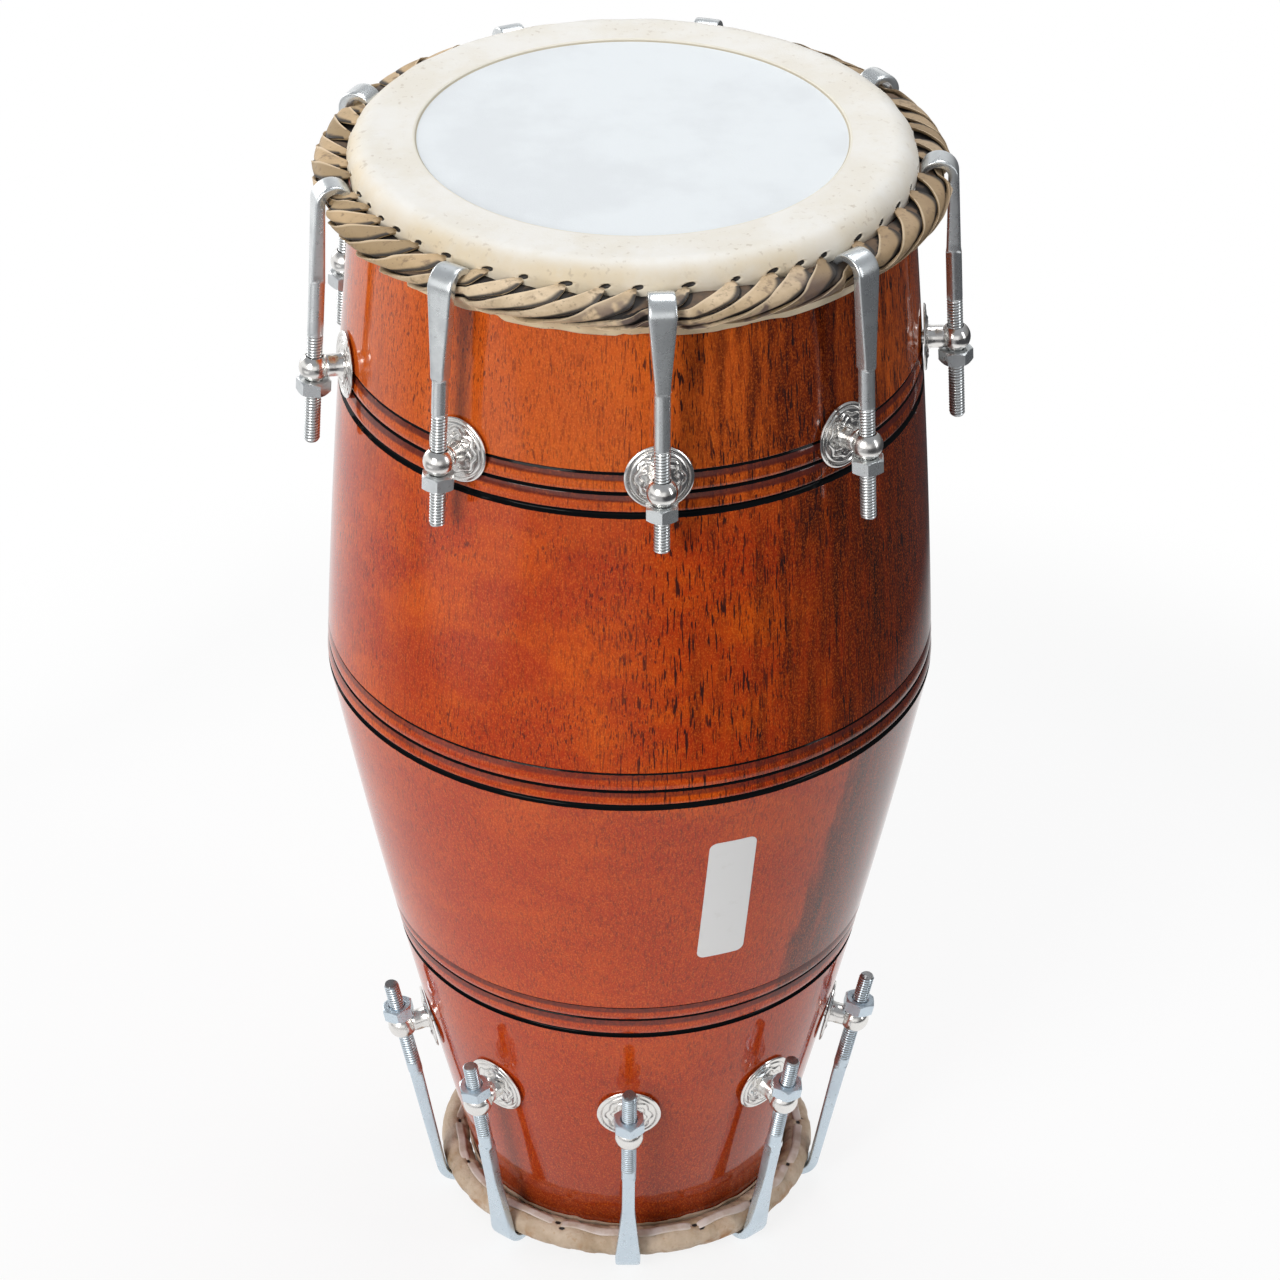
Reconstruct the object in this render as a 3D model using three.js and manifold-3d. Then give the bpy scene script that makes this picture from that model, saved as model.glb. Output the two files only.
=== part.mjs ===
// Naal: a barrel drum with two heads, tuned by hooked bolts, standing on its treble head.
// Millimetres, +Z up, origin at the centre of the rim that it stands on. The front is -Y.
// Azimuths run from the front towards +X.
import * as THREE from 'three';
import { mergeVertices } from 'three/addons/utils/BufferGeometryUtils.js';
import Module from 'manifold-3d';

const wasm = await Module();
wasm.setup();

// Clearances and cuts
const seatGap = 0.3;            // between two pieces that sit on each other
const runningGap = 0.35;        // between a threaded rod and what it turns or slides in
const cutOverrun = 5;           // how far a cutting tool runs past what it cuts

// Wooden shell
const drumHeight = 500;         // from the rim it stands on to the top of the bass rim
const bassMouthRadius = 108.2;
const bellySwell = 15.8;        // of the belly's radius over the bass mouth's
const bellyHeight = 269.5;
const trebleMouthRadius = 65.2;
const bassBulge = 1.4;          // how far the side stands out from straight, mouth to belly
const trebleBulge = 2.45;
const bassWall = 13;
const trebleWall = 11;
const bassEdgeRound = 7.5;      // rounding of the edge that each head bears on
const trebleEdgeRound = 4;
const boreChamfer = 2.5;

// Turned lines in the wood: three sets, each of a middle and a broad groove
const upperLinesDrop = 102.2;   // of the upper set's broad groove, under the top of the drum
const upperLinesPitch = 8.8;
const middleLinesPitch = 7.3;
const lowerLinesHeight = 138.3; // of the lower set's broad groove; the middle set is at the belly
const lowerLinesPitch = 9.1;
const middleLineWidth = 1.6;
const middleLineDepth = 0.9;
const broadLineWidth = 3;
const broadLineDepth = 1.6;

// Head skins
const skinThickness = 1;
const rimPlyThickness = 1;
const bassRimInnerRadius = 84;
const trebleRimInnerRadius = 50;
const bassSkirtDrop = 13;       // how far the bass skin comes down outside the wood
const trebleSkirtRise = 20;     // how far the treble skin goes up outside the wood
const bassPasteRadius = 42;     // tuning paste inside the bass skin
const bassPasteThickness = 2.5;
const patchRadius = 37;         // black tuning patch of the treble head
const patchThickness = 0.7;
const patchEdgeThickness = 0.3;

// Braid of straps round the bass hoop, with its leather collar
const strapCount = 48;
const strapPitchesClimbed = 3;  // a strap runs this many pitches round as it climbs to its slit
const hoopDrop = 13.5;          // hoop's centre under the top of the drum
const hoopInset = 7.2;          // hoop's centre from the braid's inner side
const braidBulge = 6.4;         // the braid's reach outside the hoop's centre between hooks
const braidGrip = 3.6;          // radius of what a hook grips round the hoop's centre
const braidTopRise = 3.8;
const braidDepth = 9.8;         // from the hoop's centre to the braid's underside
const collarDepth = 13.2;
const collarThickness = 1.6;
const strapRelief = 1.3;        // step between one strap and the next

// Skin-wrapped iron ring of the treble head
const ringThickness = 12.6;
const ringHeight = 12;          // of the ring's centre over the floor

// Tension hooks
// Azimuth of each tensioner in degrees, a little uneven, as they were bored by hand
const bassAzimuths = [5.3, 44.6, 87.5, 125, 165.4, 204.8, 245, 285.1, 325.5];
const trebleAzimuths = [0.6, 41.6, 80.4, 121, 160.8, 201.2, 241, 283.4, 320.9];
const rodDiameter = 6.35;
const bassRodTail = 30;         // threaded end past the centre of the eye, as a rule
const trebleRodTail = 24;
// Each hook was cut and forged by hand: its own share of the tail, and of the bass shoulder
const bassTailShares = [0.84, 1.04, 1.17, 1, 0.93, 1.06, 0.97, 1.08, 0.9];
const trebleTailShares = [1.08, 1, 0.98, 1.04, 0.95, 1, 1.05, 0.94, 0.92];
const bassShoulderShares = [1.05, 0.82, 0.97, 0.93, 1, 0.9, 1.02, 0.95, 0.88];
// How far each nut happens to be turned on its rod, in degrees
const bassNutTurns = [25, -15, 32, 10, -8, 20, 5, 12, 4];
const trebleNutTurns = [25, 8, -10, 15, -20, 28, 6, 13, -18];
const bassShoulder = 38.4;      // from the centre of the eye to the end of the round rod
const trebleShoulder = 24.5;
const shoulderLength = 1.6;
const bassNeckWidth = 6.2;      // where the forged blade starts
const bassNeckLength = 3;       // from there to where it begins to widen
const trebleNeckWidth = 5.5;
const trebleNeckLength = 21.5;
const neckThickness = 5.2;
const bladeWidth = 10.8;        // where the blade bends over
const bladeThickness = 2.7;
const tipWidth = 9.8;
const tipThickness = 2;
const bassHookSweep = 176;      // degrees round the hoop
const trebleHookSweep = 112;    // degrees round the ring

// Nuts and eye bolts
const nutAcrossFlats = 12;
const nutThickness = 5.8;
const ballDiameter = 12.3;
const eyeReach = 12.95;         // from the wood to the centre of the eye
const postDiameter = 8.4;
const rosetteDiameter = 26.6;
const rosetteEdge = 0.9;
const rosetteDome = 2;
const studDiameter = 6;
const studHoleDiameter = 7.2;
const washerDiameter = 15;
const washerThickness = 1.5;
const innerNutAcrossFlats = 10;
const innerNutThickness = 5;
const studEnd = 3;              // stud past its nut
const bassEyeDrop = 85.8;       // of each rosette's centre, under the top of the drum
const trebleEyeHeight = 90.2;   // of each rosette's centre, over the floor

// Facets
const roundSegments = 36;
const rodSides = 8;
const ballRings = 4;
const rosetteSides = 14;
const nutSides = 6;
const hookBendSteps = 4;
const ringsPerStrap = 3;

const shellTop = drumHeight - rimPlyThickness - skinThickness - seatGap;
const shellBottom = rimPlyThickness + skinThickness + seatGap;
const bellyRadius = bassMouthRadius + bellySwell;
const bassMouthHeight = shellTop - bassEdgeRound;
const trebleMouthHeight = shellBottom + trebleEdgeRound;
const upperLinesHeight = drumHeight - upperLinesDrop;
const bassEyeHeight = drumHeight - bassEyeDrop;

const radians = (degrees) => THREE.MathUtils.degToRad(degrees);

// Degrees between two azimuths, the short way round
const degreesBetween = (one, other) => Math.abs(
  THREE.MathUtils.euclideanModulo(one - other + 180, 360) - 180,
);

// Radius of the wood's outer side at a height: two bowed stretches that meet at the belly.
function shellRadius(height) {
  const overBelly = height >= bellyHeight;
  const mouthHeight = overBelly ? bassMouthHeight : trebleMouthHeight;
  const mouthRadius = overBelly ? bassMouthRadius : trebleMouthRadius;
  const bulge = overBelly ? bassBulge : trebleBulge;
  const along = THREE.MathUtils.clamp((height - mouthHeight) / (bellyHeight - mouthHeight), 0, 1);
  return THREE.MathUtils.lerp(mouthRadius, bellyRadius, along) + 4 * along * (1 - along) * bulge;
}

// The bore is turned in straight stretches between a few heights, a wall's thickness inside the wood.
const boreStations = [
  shellTop - boreChamfer, upperLinesHeight, bellyHeight, lowerLinesHeight, shellBottom + boreChamfer,
].map((height) => {
  const along = (height - shellBottom) / (shellTop - shellBottom);
  return [shellRadius(height) - THREE.MathUtils.lerp(trebleWall, bassWall, along), height];
});

function boreRadius(height) {
  const upper = boreStations.findLast((station, index) => index === 0 || station[1] >= height);
  const place = Math.min(boreStations.indexOf(upper), boreStations.length - 2);
  const [[topRadius, top], [lowRadius, low]] = boreStations.slice(place, place + 2);
  return THREE.MathUtils.mapLinear(height, top, low, topRadius, lowRadius);
}

// A BufferGeometry with one closed skin becomes a solid that can be joined and cut.
function solid(geometry) {
  const bare = new THREE.BufferGeometry();
  bare.setAttribute('position', geometry.getAttribute('position').clone());
  if (geometry.index) bare.setIndex(geometry.index.clone());
  const merged = mergeVertices(bare);
  return new wasm.Manifold(new wasm.Mesh({
    numProp: 3,
    vertProperties: new Float32Array(merged.getAttribute('position').array),
    triVerts: new Uint32Array(merged.index.array),
  }));
}

function geometryOf(body) {
  const mesh = body.getMesh();
  const geometry = new THREE.BufferGeometry();
  geometry.setAttribute('position', new THREE.BufferAttribute(mesh.vertProperties, mesh.numProp));
  geometry.setIndex(new THREE.BufferAttribute(mesh.triVerts, 1));
  return geometry;
}

// Turns a profile of [radius, height] points about the Z axis. Points run up the outside.
function turned(profile, segments = roundSegments) {
  const points = profile.map(([radius, height]) => new THREE.Vector2(radius, height));
  return new THREE.LatheGeometry(points, segments).rotateX(Math.PI / 2);
}

// A prism along Z with a regular outline, its corners on the given radius.
function prism(cornerRadius, sides, from, to) {
  const outline = new THREE.Shape();
  for (let side = 0; side < sides; side += 1) {
    const angle = (2 * Math.PI * (side + 0.5)) / sides;
    const corner = [cornerRadius * Math.cos(angle), cornerRadius * Math.sin(angle)];
    if (side === 0) outline.moveTo(...corner);
    else outline.lineTo(...corner);
  }
  return new THREE.ExtrudeGeometry(outline, { depth: to - from, bevelEnabled: false })
    .translate(0, 0, from);
}

const cornersOf = (flatRadius, sides) => flatRadius / Math.cos(Math.PI / sides);

// Quarter round between two directions, as [radius, height] points about a centre.
function roundEdge([centreRadius, centreHeight], radius, fromDegrees, toDegrees, steps = 2) {
  const points = [];
  for (let step = 0; step <= steps; step += 1) {
    const angle = radians(THREE.MathUtils.lerp(fromDegrees, toDegrees, step / steps));
    points.push([centreRadius + radius * Math.cos(angle), centreHeight + radius * Math.sin(angle)]);
  }
  return points;
}

const facetShare = Math.cos(Math.PI / roundSegments);  // a flat's share of its corners' radius
const bassEdgeCentre = [bassMouthRadius - bassEdgeRound, bassMouthHeight];
const trebleEdgeCentre = [trebleMouthRadius - trebleEdgeRound, trebleMouthHeight];

// Wooden shell, turned inside and out
function groove(height, width, depth) {
  return [
    [shellRadius(height - width / 2), height - width / 2],
    [shellRadius(height) - depth, height],
    [shellRadius(height + width / 2), height + width / 2],
  ];
}

function lineSet(height, pitch) {
  return [
    ...groove(height, broadLineWidth, broadLineDepth),
    ...groove(height + pitch, middleLineWidth, middleLineDepth),
  ];
}

function sidePoints(fromHeight, toHeight, stretches) {
  const points = [];
  for (let index = 1; index < stretches; index += 1) {
    const height = THREE.MathUtils.lerp(fromHeight, toHeight, index / stretches);
    points.push([shellRadius(height), height]);
  }
  return points;
}

function shellProfile() {
  const lowerLinesTop = lowerLinesHeight + lowerLinesPitch;
  const middleLinesTop = bellyHeight + middleLinesPitch;
  const upperLinesTop = upperLinesHeight + upperLinesPitch;
  const outside = [
    ...roundEdge(trebleEdgeCentre, trebleEdgeRound, -90, 0),
    ...sidePoints(trebleMouthHeight, lowerLinesHeight, 2),
    ...lineSet(lowerLinesHeight, lowerLinesPitch),
    ...sidePoints(lowerLinesTop, bellyHeight, 2),
    ...lineSet(bellyHeight, middleLinesPitch),
    ...sidePoints(middleLinesTop, upperLinesHeight, 2),
    ...lineSet(upperLinesHeight, upperLinesPitch),
    ...sidePoints(upperLinesTop, bassMouthHeight, 2),
    ...roundEdge(bassEdgeCentre, bassEdgeRound, 0, 90),
  ];
  return [
    ...outside,
    [boreRadius(shellTop) + boreChamfer, shellTop],
    ...boreStations,
    [boreRadius(shellBottom) + boreChamfer, shellBottom],
    outside[0],
  ];
}

// Where an eye bolt stands and how its rod leans. The post starts at the wood, square to the rod,
// and the rod runs past the hoop or ring at the curl's radius. Places are [radius, height].
function placeTensioner({ footHeight, hoop, curlRadius, towardsTop }) {
  const foot = new THREE.Vector2(shellRadius(footHeight), footHeight);
  const toHoop = new THREE.Vector2(...hoop).sub(foot);
  const side = towardsTop ? -1 : 1;
  const turn = Math.acos((eyeReach - curlRadius) / toHoop.length());
  const postAngle = toHoop.angle() + side * turn;
  const post = new THREE.Vector2(Math.cos(postAngle), Math.sin(postAngle));
  const rod = new THREE.Vector2(side * post.y, -side * post.x);
  const eye = foot.clone().addScaledVector(post, eyeReach);
  const bendDistance = new THREE.Vector2(...hoop).sub(eye).dot(rod);
  return { eye, post, postAngle, bendDistance, curlRadius, footHeight, towardsTop };
}

// Radius of a hook's centreline round a grip, so that the flat steps of its inner side clear it
function curlRadiusRound(gripRadius, sweep) {
  const halfStep = radians(sweep) / hookBendSteps / 2;
  return (gripRadius + seatGap) / Math.cos(halfStep) + bladeThickness / 2;
}

const braidInnerRadius = bassMouthRadius + skinThickness + rimPlyThickness + 2 * seatGap;
const hoopCentre = [braidInnerRadius + hoopInset, drumHeight - hoopDrop];

const ringRadius = ringThickness / 2;
const coneSlope = (shellRadius(ringHeight + ringRadius) - shellRadius(ringHeight)) / ringRadius;
const wrapRadius = shellRadius(ringHeight) + skinThickness + 2 * seatGap;
const ringCentre = [wrapRadius + ringRadius * Math.hypot(1, coneSlope), ringHeight];

const bassPlace = placeTensioner({
  footHeight: bassEyeHeight,
  hoop: hoopCentre,
  curlRadius: curlRadiusRound(braidGrip, bassHookSweep),
  towardsTop: true,
});
const treblePlace = placeTensioner({
  footHeight: trebleEyeHeight,
  hoop: ringCentre,
  curlRadius: curlRadiusRound(ringRadius, trebleHookSweep),
  towardsTop: false,
});

// Skins a row of equal outlines into one solid, with flat ends.
function loft(outlines) {
  const sides = outlines[0].length;
  const positions = outlines.flat().flatMap((point) => [point.x, point.y, point.z]);
  const index = [];
  for (let row = 0; row + 1 < outlines.length; row += 1) {
    for (let side = 0; side < sides; side += 1) {
      const a = row * sides + side;
      const b = row * sides + ((side + 1) % sides);
      index.push(a, b, b + sides, a, b + sides, a + sides);
    }
  }
  const last = (outlines.length - 1) * sides;
  for (let side = 1; side + 1 < sides; side += 1) {
    index.push(0, side + 1, side);
    index.push(last, last + side, last + side + 1);
  }
  const geometry = new THREE.BufferGeometry();
  geometry.setAttribute('position', new THREE.Float32BufferAttribute(positions, 3));
  geometry.setIndex(index);
  return geometry;
}

// Tension hook along Z, its eye at the origin, the head it pulls on towards +Z and the wood at -X.
function hookSolid(place, { tail, shoulder, neckWidth, neckLength, sweep }) {
  const outline = (centre, normal, width, thickness) => {
    const across = new THREE.Vector3(0, 1, 0);
    return Array.from({ length: rodSides }, (unused, side) => {
      const angle = (2 * Math.PI * (side + 0.5)) / rodSides;
      return centre.clone()
        .addScaledVector(normal, (thickness / 2) * Math.cos(angle))
        .addScaledVector(across, (width / 2) * Math.sin(angle));
    });
  };
  const neckStart = shoulder + shoulderLength;
  const neckEndThickness = THREE.MathUtils.mapLinear(
    neckStart + neckLength, neckStart, place.bendDistance, neckThickness, bladeThickness,
  );
  const onAxis = (height, width, thickness) => outline(
    new THREE.Vector3(0, 0, height), new THREE.Vector3(1, 0, 0), width, thickness,
  );
  const outlines = [
    onAxis(-tail, rodDiameter, rodDiameter),
    onAxis(shoulder, rodDiameter, rodDiameter),
    onAxis(neckStart, neckWidth, neckThickness),
    onAxis(neckStart + neckLength, neckWidth, neckEndThickness),
  ];
  for (let step = 0; step <= hookBendSteps; step += 1) {
    const angle = radians((sweep * step) / hookBendSteps);
    const normal = new THREE.Vector3(Math.cos(angle), 0, Math.sin(angle));
    const centre = new THREE.Vector3(-place.curlRadius, 0, place.bendDistance)
      .addScaledVector(normal, place.curlRadius);
    const isTip = step === hookBendSteps;
    outlines.push(outline(
      centre, normal, isTip ? tipWidth : bladeWidth, isTip ? tipThickness : bladeThickness,
    ));
  }
  return solid(loft(outlines));
}

// Flats across a rod's octagon are narrower than its corners, so holes are sized to the corners.
const rodHoleCorners = cornersOf(rodDiameter / 2 + runningGap, rodSides);
const ballRadius = ballDiameter / 2;
const ballFlat = Math.sqrt(ballRadius ** 2 - rodHoleCorners ** 2);  // centre to the hole's rim

// The eye: a ball turned about the rod, with the hole as its inner side
function eyeSolid() {
  const rim = THREE.MathUtils.radToDeg(Math.asin(ballFlat / ballRadius));
  const outside = roundEdge([0, 0], ballRadius, -rim, rim, ballRings);
  const eye = turned([...outside, outside[0]], rodSides);
  return solid(eye.rotateZ(Math.PI / rodSides));
}

function nutSolid() {
  const top = -ballFlat - seatGap;
  const bottom = top - nutThickness;
  const hexagon = prism(cornersOf(nutAcrossFlats / 2, nutSides), nutSides, bottom, top);
  const bore = prism(rodHoleCorners, rodSides, bottom - cutOverrun, top + cutOverrun);
  return solid(hexagon).subtract(solid(bore));
}

// Extra stand-off of a flat disc on the wood, which leans a little from square to the post, so that
// one side of its rim seats first.
function leanGap(place, discRadius, height, radiusAt) {
  const slope = Math.atan2(radiusAt(height + discRadius) - radiusAt(height - discRadius), 2 * discRadius);
  return discRadius * Math.tan(Math.abs(slope + place.postAngle));
}

// Eye bolt: ball, post and rosette outside the wood, stud, washer and nut inside, along -X.
function eyeBoltSolid(place) {
  const alongPost = (geometry) => solid(geometry.rotateY(-Math.PI / 2));
  const wall = wallAlongPost(place);
  const rosetteLean = leanGap(place, rosetteDiameter / 2, place.footHeight, shellRadius);
  const rosetteBack = eyeReach - seatGap - rosetteLean;
  const washerFace = eyeReach + wall;
  const nutFace = washerFace + washerThickness;
  const studTip = nutFace + innerNutThickness + studEnd;
  const rosette = alongPost(turned([
    [0, rosetteBack - rosetteDome],
    [rosetteDiameter / 2, rosetteBack - rosetteEdge],
    [rosetteDiameter / 2, rosetteBack],
    [0, rosetteBack],
  ], rosetteSides));
  const postStart = (rodHoleCorners + ballRadius) / 2;
  const post = alongPost(prism(postDiameter / 2, rodSides, postStart, rosetteBack - rosetteEdge));
  const inside = alongPost(turned([
    [0, rosetteBack - rosetteEdge / 2],
    [studDiameter / 2, rosetteBack - rosetteEdge / 2],
    [studDiameter / 2, washerFace],
    [washerDiameter / 2, washerFace],
    [washerDiameter / 2, nutFace],
    [cornersOf(innerNutAcrossFlats / 2, nutSides), nutFace],
    [cornersOf(innerNutAcrossFlats / 2, nutSides), nutFace + innerNutThickness],
    [studDiameter / 2, nutFace + innerNutThickness],
    [studDiameter / 2, studTip],
    [0, studTip],
  ], nutSides));
  return eyeSolid().add(post).add(rosette).add(inside);
}

// Distance from the wood's outer side, where the post stands, to the seat of the washer inside.
// The washer lies flat against a hollow that curves and leans, so its edge seats first.
function wallAlongPost(place) {
  const direction = place.post;
  let depth = 0;
  for (let pass = 0; pass < 8; pass += 1) {
    const height = place.footHeight - depth * direction.y;
    const radius = shellRadius(place.footHeight) - depth * direction.x;
    depth += (radius - facetShare * boreRadius(height)) / direction.x;
  }
  const height = place.footHeight - depth * direction.y;
  const halfWasher = washerDiameter / 2;
  const curve = halfWasher ** 2 / (2 * boreRadius(height));
  return depth + seatGap + curve + leanGap(place, halfWasher, height, boreRadius);
}

// The shell, with a hole through the wall for each eye bolt's stud
function shellSolid() {
  const holes = [];
  for (const [place, azimuths] of [[bassPlace, bassAzimuths], [treblePlace, trebleAzimuths]]) {
    for (const azimuth of azimuths) {
      const cutter = prism(studHoleDiameter / 2, nutSides, -cutOverrun, wallAlongPost(place) + cutOverrun)
        .rotateY(-Math.PI / 2)
        .rotateY(-place.postAngle)
        .translate(shellRadius(place.footHeight), 0, place.footHeight)
        .rotateZ(radians(azimuth - 90));
      holes.push(solid(cutter));
    }
  }
  return holes.reduce((body, hole) => body.subtract(hole), solid(turned(shellProfile())));
}

// Bass head: the membrane, the rim ply round it and the skirt outside the wood, in one piece as the
// head is lapped, with the tuning paste on its inner side.
function bassSkinSolid() {
  const membraneTop = drumHeight - rimPlyThickness;
  const underside = membraneTop - skinThickness;
  const skirtEnd = drumHeight - bassSkirtDrop;
  const innerRound = bassEdgeRound + seatGap;
  const outerRound = innerRound + skinThickness + rimPlyThickness;
  const skirtInner = shellRadius(skirtEnd) + seatGap;
  const profile = [
    [0, underside - bassPasteThickness],
    [bassPasteRadius, underside - bassPasteThickness],
    [bassPasteRadius + bassPasteThickness, underside],
    ...roundEdge(bassEdgeCentre, innerRound, 90, 0),
    [skirtInner, skirtEnd],
    [skirtInner + skinThickness, skirtEnd],
    ...roundEdge(bassEdgeCentre, outerRound, 0, 90),
    [bassRimInnerRadius, drumHeight],
    [bassRimInnerRadius - rimPlyThickness, membraneTop],
    [0, membraneTop],
  ];
  return solid(turned(profile));
}

// Treble head: the same build turned over. The drum stands on its rim ply.
function trebleSkinSolid() {
  const innerRound = trebleEdgeRound + seatGap;
  const outerRound = innerRound + skinThickness + rimPlyThickness;
  const wallInner = (height) => shellRadius(height) + seatGap;
  const wallFoot = trebleMouthHeight + trebleEdgeRound;
  const profile = [
    [0, rimPlyThickness],
    [trebleRimInnerRadius - rimPlyThickness, rimPlyThickness],
    [trebleRimInnerRadius, 0],
    ...roundEdge(trebleEdgeCentre, outerRound, -90, -30, 2),
    [wallInner(wallFoot) + skinThickness, wallFoot],
    [wallInner(trebleSkirtRise) + skinThickness, trebleSkirtRise],
    [wallInner(trebleSkirtRise), trebleSkirtRise],
    [wallInner(wallFoot), wallFoot],
    ...roundEdge(trebleEdgeCentre, innerRound, 0, -90),
    [0, rimPlyThickness + skinThickness],
  ];
  return solid(turned(profile));
}

// Black patch of dried paste, thinner at its edge
function patchSolid() {
  return solid(turned([
    [0, rimPlyThickness - patchThickness],
    [patchRadius, rimPlyThickness - patchEdgeThickness],
    [patchRadius, rimPlyThickness],
    [0, rimPlyThickness],
  ]));
}

function ringSolid() {
  const [radius, height] = ringCentre;
  return solid(turned(roundEdge([radius, height], ringRadius, -180, 180, 8)));
}

// Braid: one closed band whose outline follows the hoop. Each strap is a slanting run of the mesh:
// its rows shift round as they climb, and the back joins rows a whole number of straps apart.
function braidSolid() {
  const [hoopRadius, hoopHeight] = hoopCentre;
  const collarHeight = hoopHeight - collarDepth;
  const collarInner = shellRadius(collarHeight) + seatGap * 2;
  const fromHoop = (radius) => radius - hoopRadius;
  const grip = (degrees) => [braidGrip * Math.cos(radians(degrees)), braidGrip * Math.sin(radians(degrees))];
  // Each corner: its place between hooks, its place under a hook, how far round the strap has
  // climbed there, and how much of the step between straps it shows. Shares chosen by hand.
  const corners = [
    {
      free: [0.7 * braidBulge, -0.82 * braidDepth], held: [braidGrip, -0.82 * braidDepth],
      climbShare: 0.14, reliefShare: 0.9,
    },
    {
      free: [braidBulge, -0.42 * braidDepth], held: [braidGrip, -0.42 * braidDepth],
      climbShare: 0.4, reliefShare: 1,
    },
    { free: [0.7 * braidBulge, 0.3 * braidTopRise], held: grip(38), climbShare: 0.7, reliefShare: 1 },
    { free: [-0.15 * hoopInset, braidTopRise], held: grip(95), climbShare: 0.92, reliefShare: 0.8 },
    { free: [-hoopInset, 0], held: grip(180), climbShare: 1, reliefShare: 0 },
    { free: [fromHoop(collarInner), -collarDepth], held: null, climbShare: 0, reliefShare: 0 },
    {
      free: [fromHoop(collarInner + collarThickness), -collarDepth], held: null,
      climbShare: 0, reliefShare: 0,
    },
    { free: [-0.2 * hoopInset, -braidDepth], held: null, climbShare: 0, reliefShare: 0.4 },
  ];
  const firstBackCorner = 5;
  const stepShares = [0, 1, 0.5];
  const rows = strapCount * ringsPerStrap;
  const pitch = 360 / strapCount;
  const climb = strapPitchesClimbed * pitch;
  const rowAngle = pitch / ringsPerStrap;
  const heldHalfAngle = THREE.MathUtils.radToDeg(bladeWidth / 2 / hoopRadius) + rowAngle;
  const positions = [];
  for (let row = 0; row < rows; row += 1) {
    for (const { free, held, climbShare, reliefShare } of corners) {
      const azimuth = row * rowAngle + climbShare * climb;
      const fromHook = Math.min(...bassAzimuths.map((hookAzimuth) => degreesBetween(azimuth, hookAzimuth)));
      const hold = THREE.MathUtils.clamp((heldHalfAngle + rowAngle - fromHook) / rowAngle, 0, 1);
      const place = new THREE.Vector2(...free).lerp(new THREE.Vector2(...(held ?? free)), hold);
      const relief = strapRelief * reliefShare * stepShares[row % ringsPerStrap];
      place.setLength(place.length() - relief);
      const radius = hoopRadius + place.x;
      const angle = radians(azimuth);
      positions.push(radius * Math.sin(angle), -radius * Math.cos(angle), hoopHeight + place.y);
    }
  }
  const index = [];
  const at = (row, corner) => ((row + rows) % rows) * corners.length + corner;
  const wholeShift = strapPitchesClimbed * ringsPerStrap;
  corners.forEach((unused, corner) => {
    const next = (corner + 1) % corners.length;
    const shift = next === firstBackCorner ? wholeShift : 0;
    for (let row = 0; row < rows; row += 1) {
      const a = at(row, corner);
      const b = at(row + 1, corner);
      const c = at(row + 1 + shift, next);
      const d = at(row + shift, next);
      index.push(a, b, c, a, c, d);
    }
  });
  const geometry = new THREE.BufferGeometry();
  geometry.setAttribute('position', new THREE.Float32BufferAttribute(positions, 3));
  geometry.setIndex(index);
  return solid(geometry);
}

// Finishes
const varnishedWood = new THREE.MeshStandardMaterial({ color: 0x8a3a1c, roughness: 0.3, metalness: 0 });
const headSkin = new THREE.MeshStandardMaterial({ color: 0xd9ceb4, roughness: 0.65, metalness: 0 });
const strapLeather = new THREE.MeshStandardMaterial({ color: 0xa8845c, roughness: 0.7, metalness: 0 });
const ringLeather = new THREE.MeshStandardMaterial({ color: 0xb59268, roughness: 0.65, metalness: 0 });
const dullZinc = new THREE.MeshStandardMaterial({ color: 0x9a9c9e, roughness: 0.45, metalness: 1 });
const polishedNickel = new THREE.MeshStandardMaterial({ color: 0xc8c6c2, roughness: 0.18, metalness: 1 });
const blackPaste = new THREE.MeshStandardMaterial({ color: 0x151414, roughness: 0.8, metalness: 0 });

function named(name, geometry, material) {
  const mesh = new THREE.Mesh(geometry, material);
  mesh.name = name;
  return mesh;
}

// One head's hooks, nuts and eye bolts, each set in its own turned group
function tensioners(head, place, azimuths, nutTurns, hookShapeOf) {
  const nut = geometryOf(nutSolid());
  const eyeBolt = geometryOf(eyeBoltSolid(place));
  const set = new THREE.Group();
  azimuths.forEach((azimuth, index) => {
    const hook = geometryOf(hookSolid(place, hookShapeOf(index)));
    const turn = new THREE.Group();
    turn.rotation.z = radians(azimuth - 90);
    const stand = new THREE.Group();
    stand.position.set(place.eye.x, 0, place.eye.y);
    stand.rotation.set(place.towardsTop ? 0 : Math.PI, -place.postAngle, 0, 'YXZ');
    const turnedNut = named(`${head}_nut_${index + 1}`, nut, dullZinc);
    turnedNut.rotation.z = radians(nutTurns[index]);
    stand.add(
      named(`${head}_hook_${index + 1}`, hook, dullZinc),
      turnedNut,
      named(`${head}_eye_bolt_${index + 1}`, eyeBolt, polishedNickel),
    );
    turn.add(stand);
    set.add(turn);
  });
  return set;
}

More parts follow.
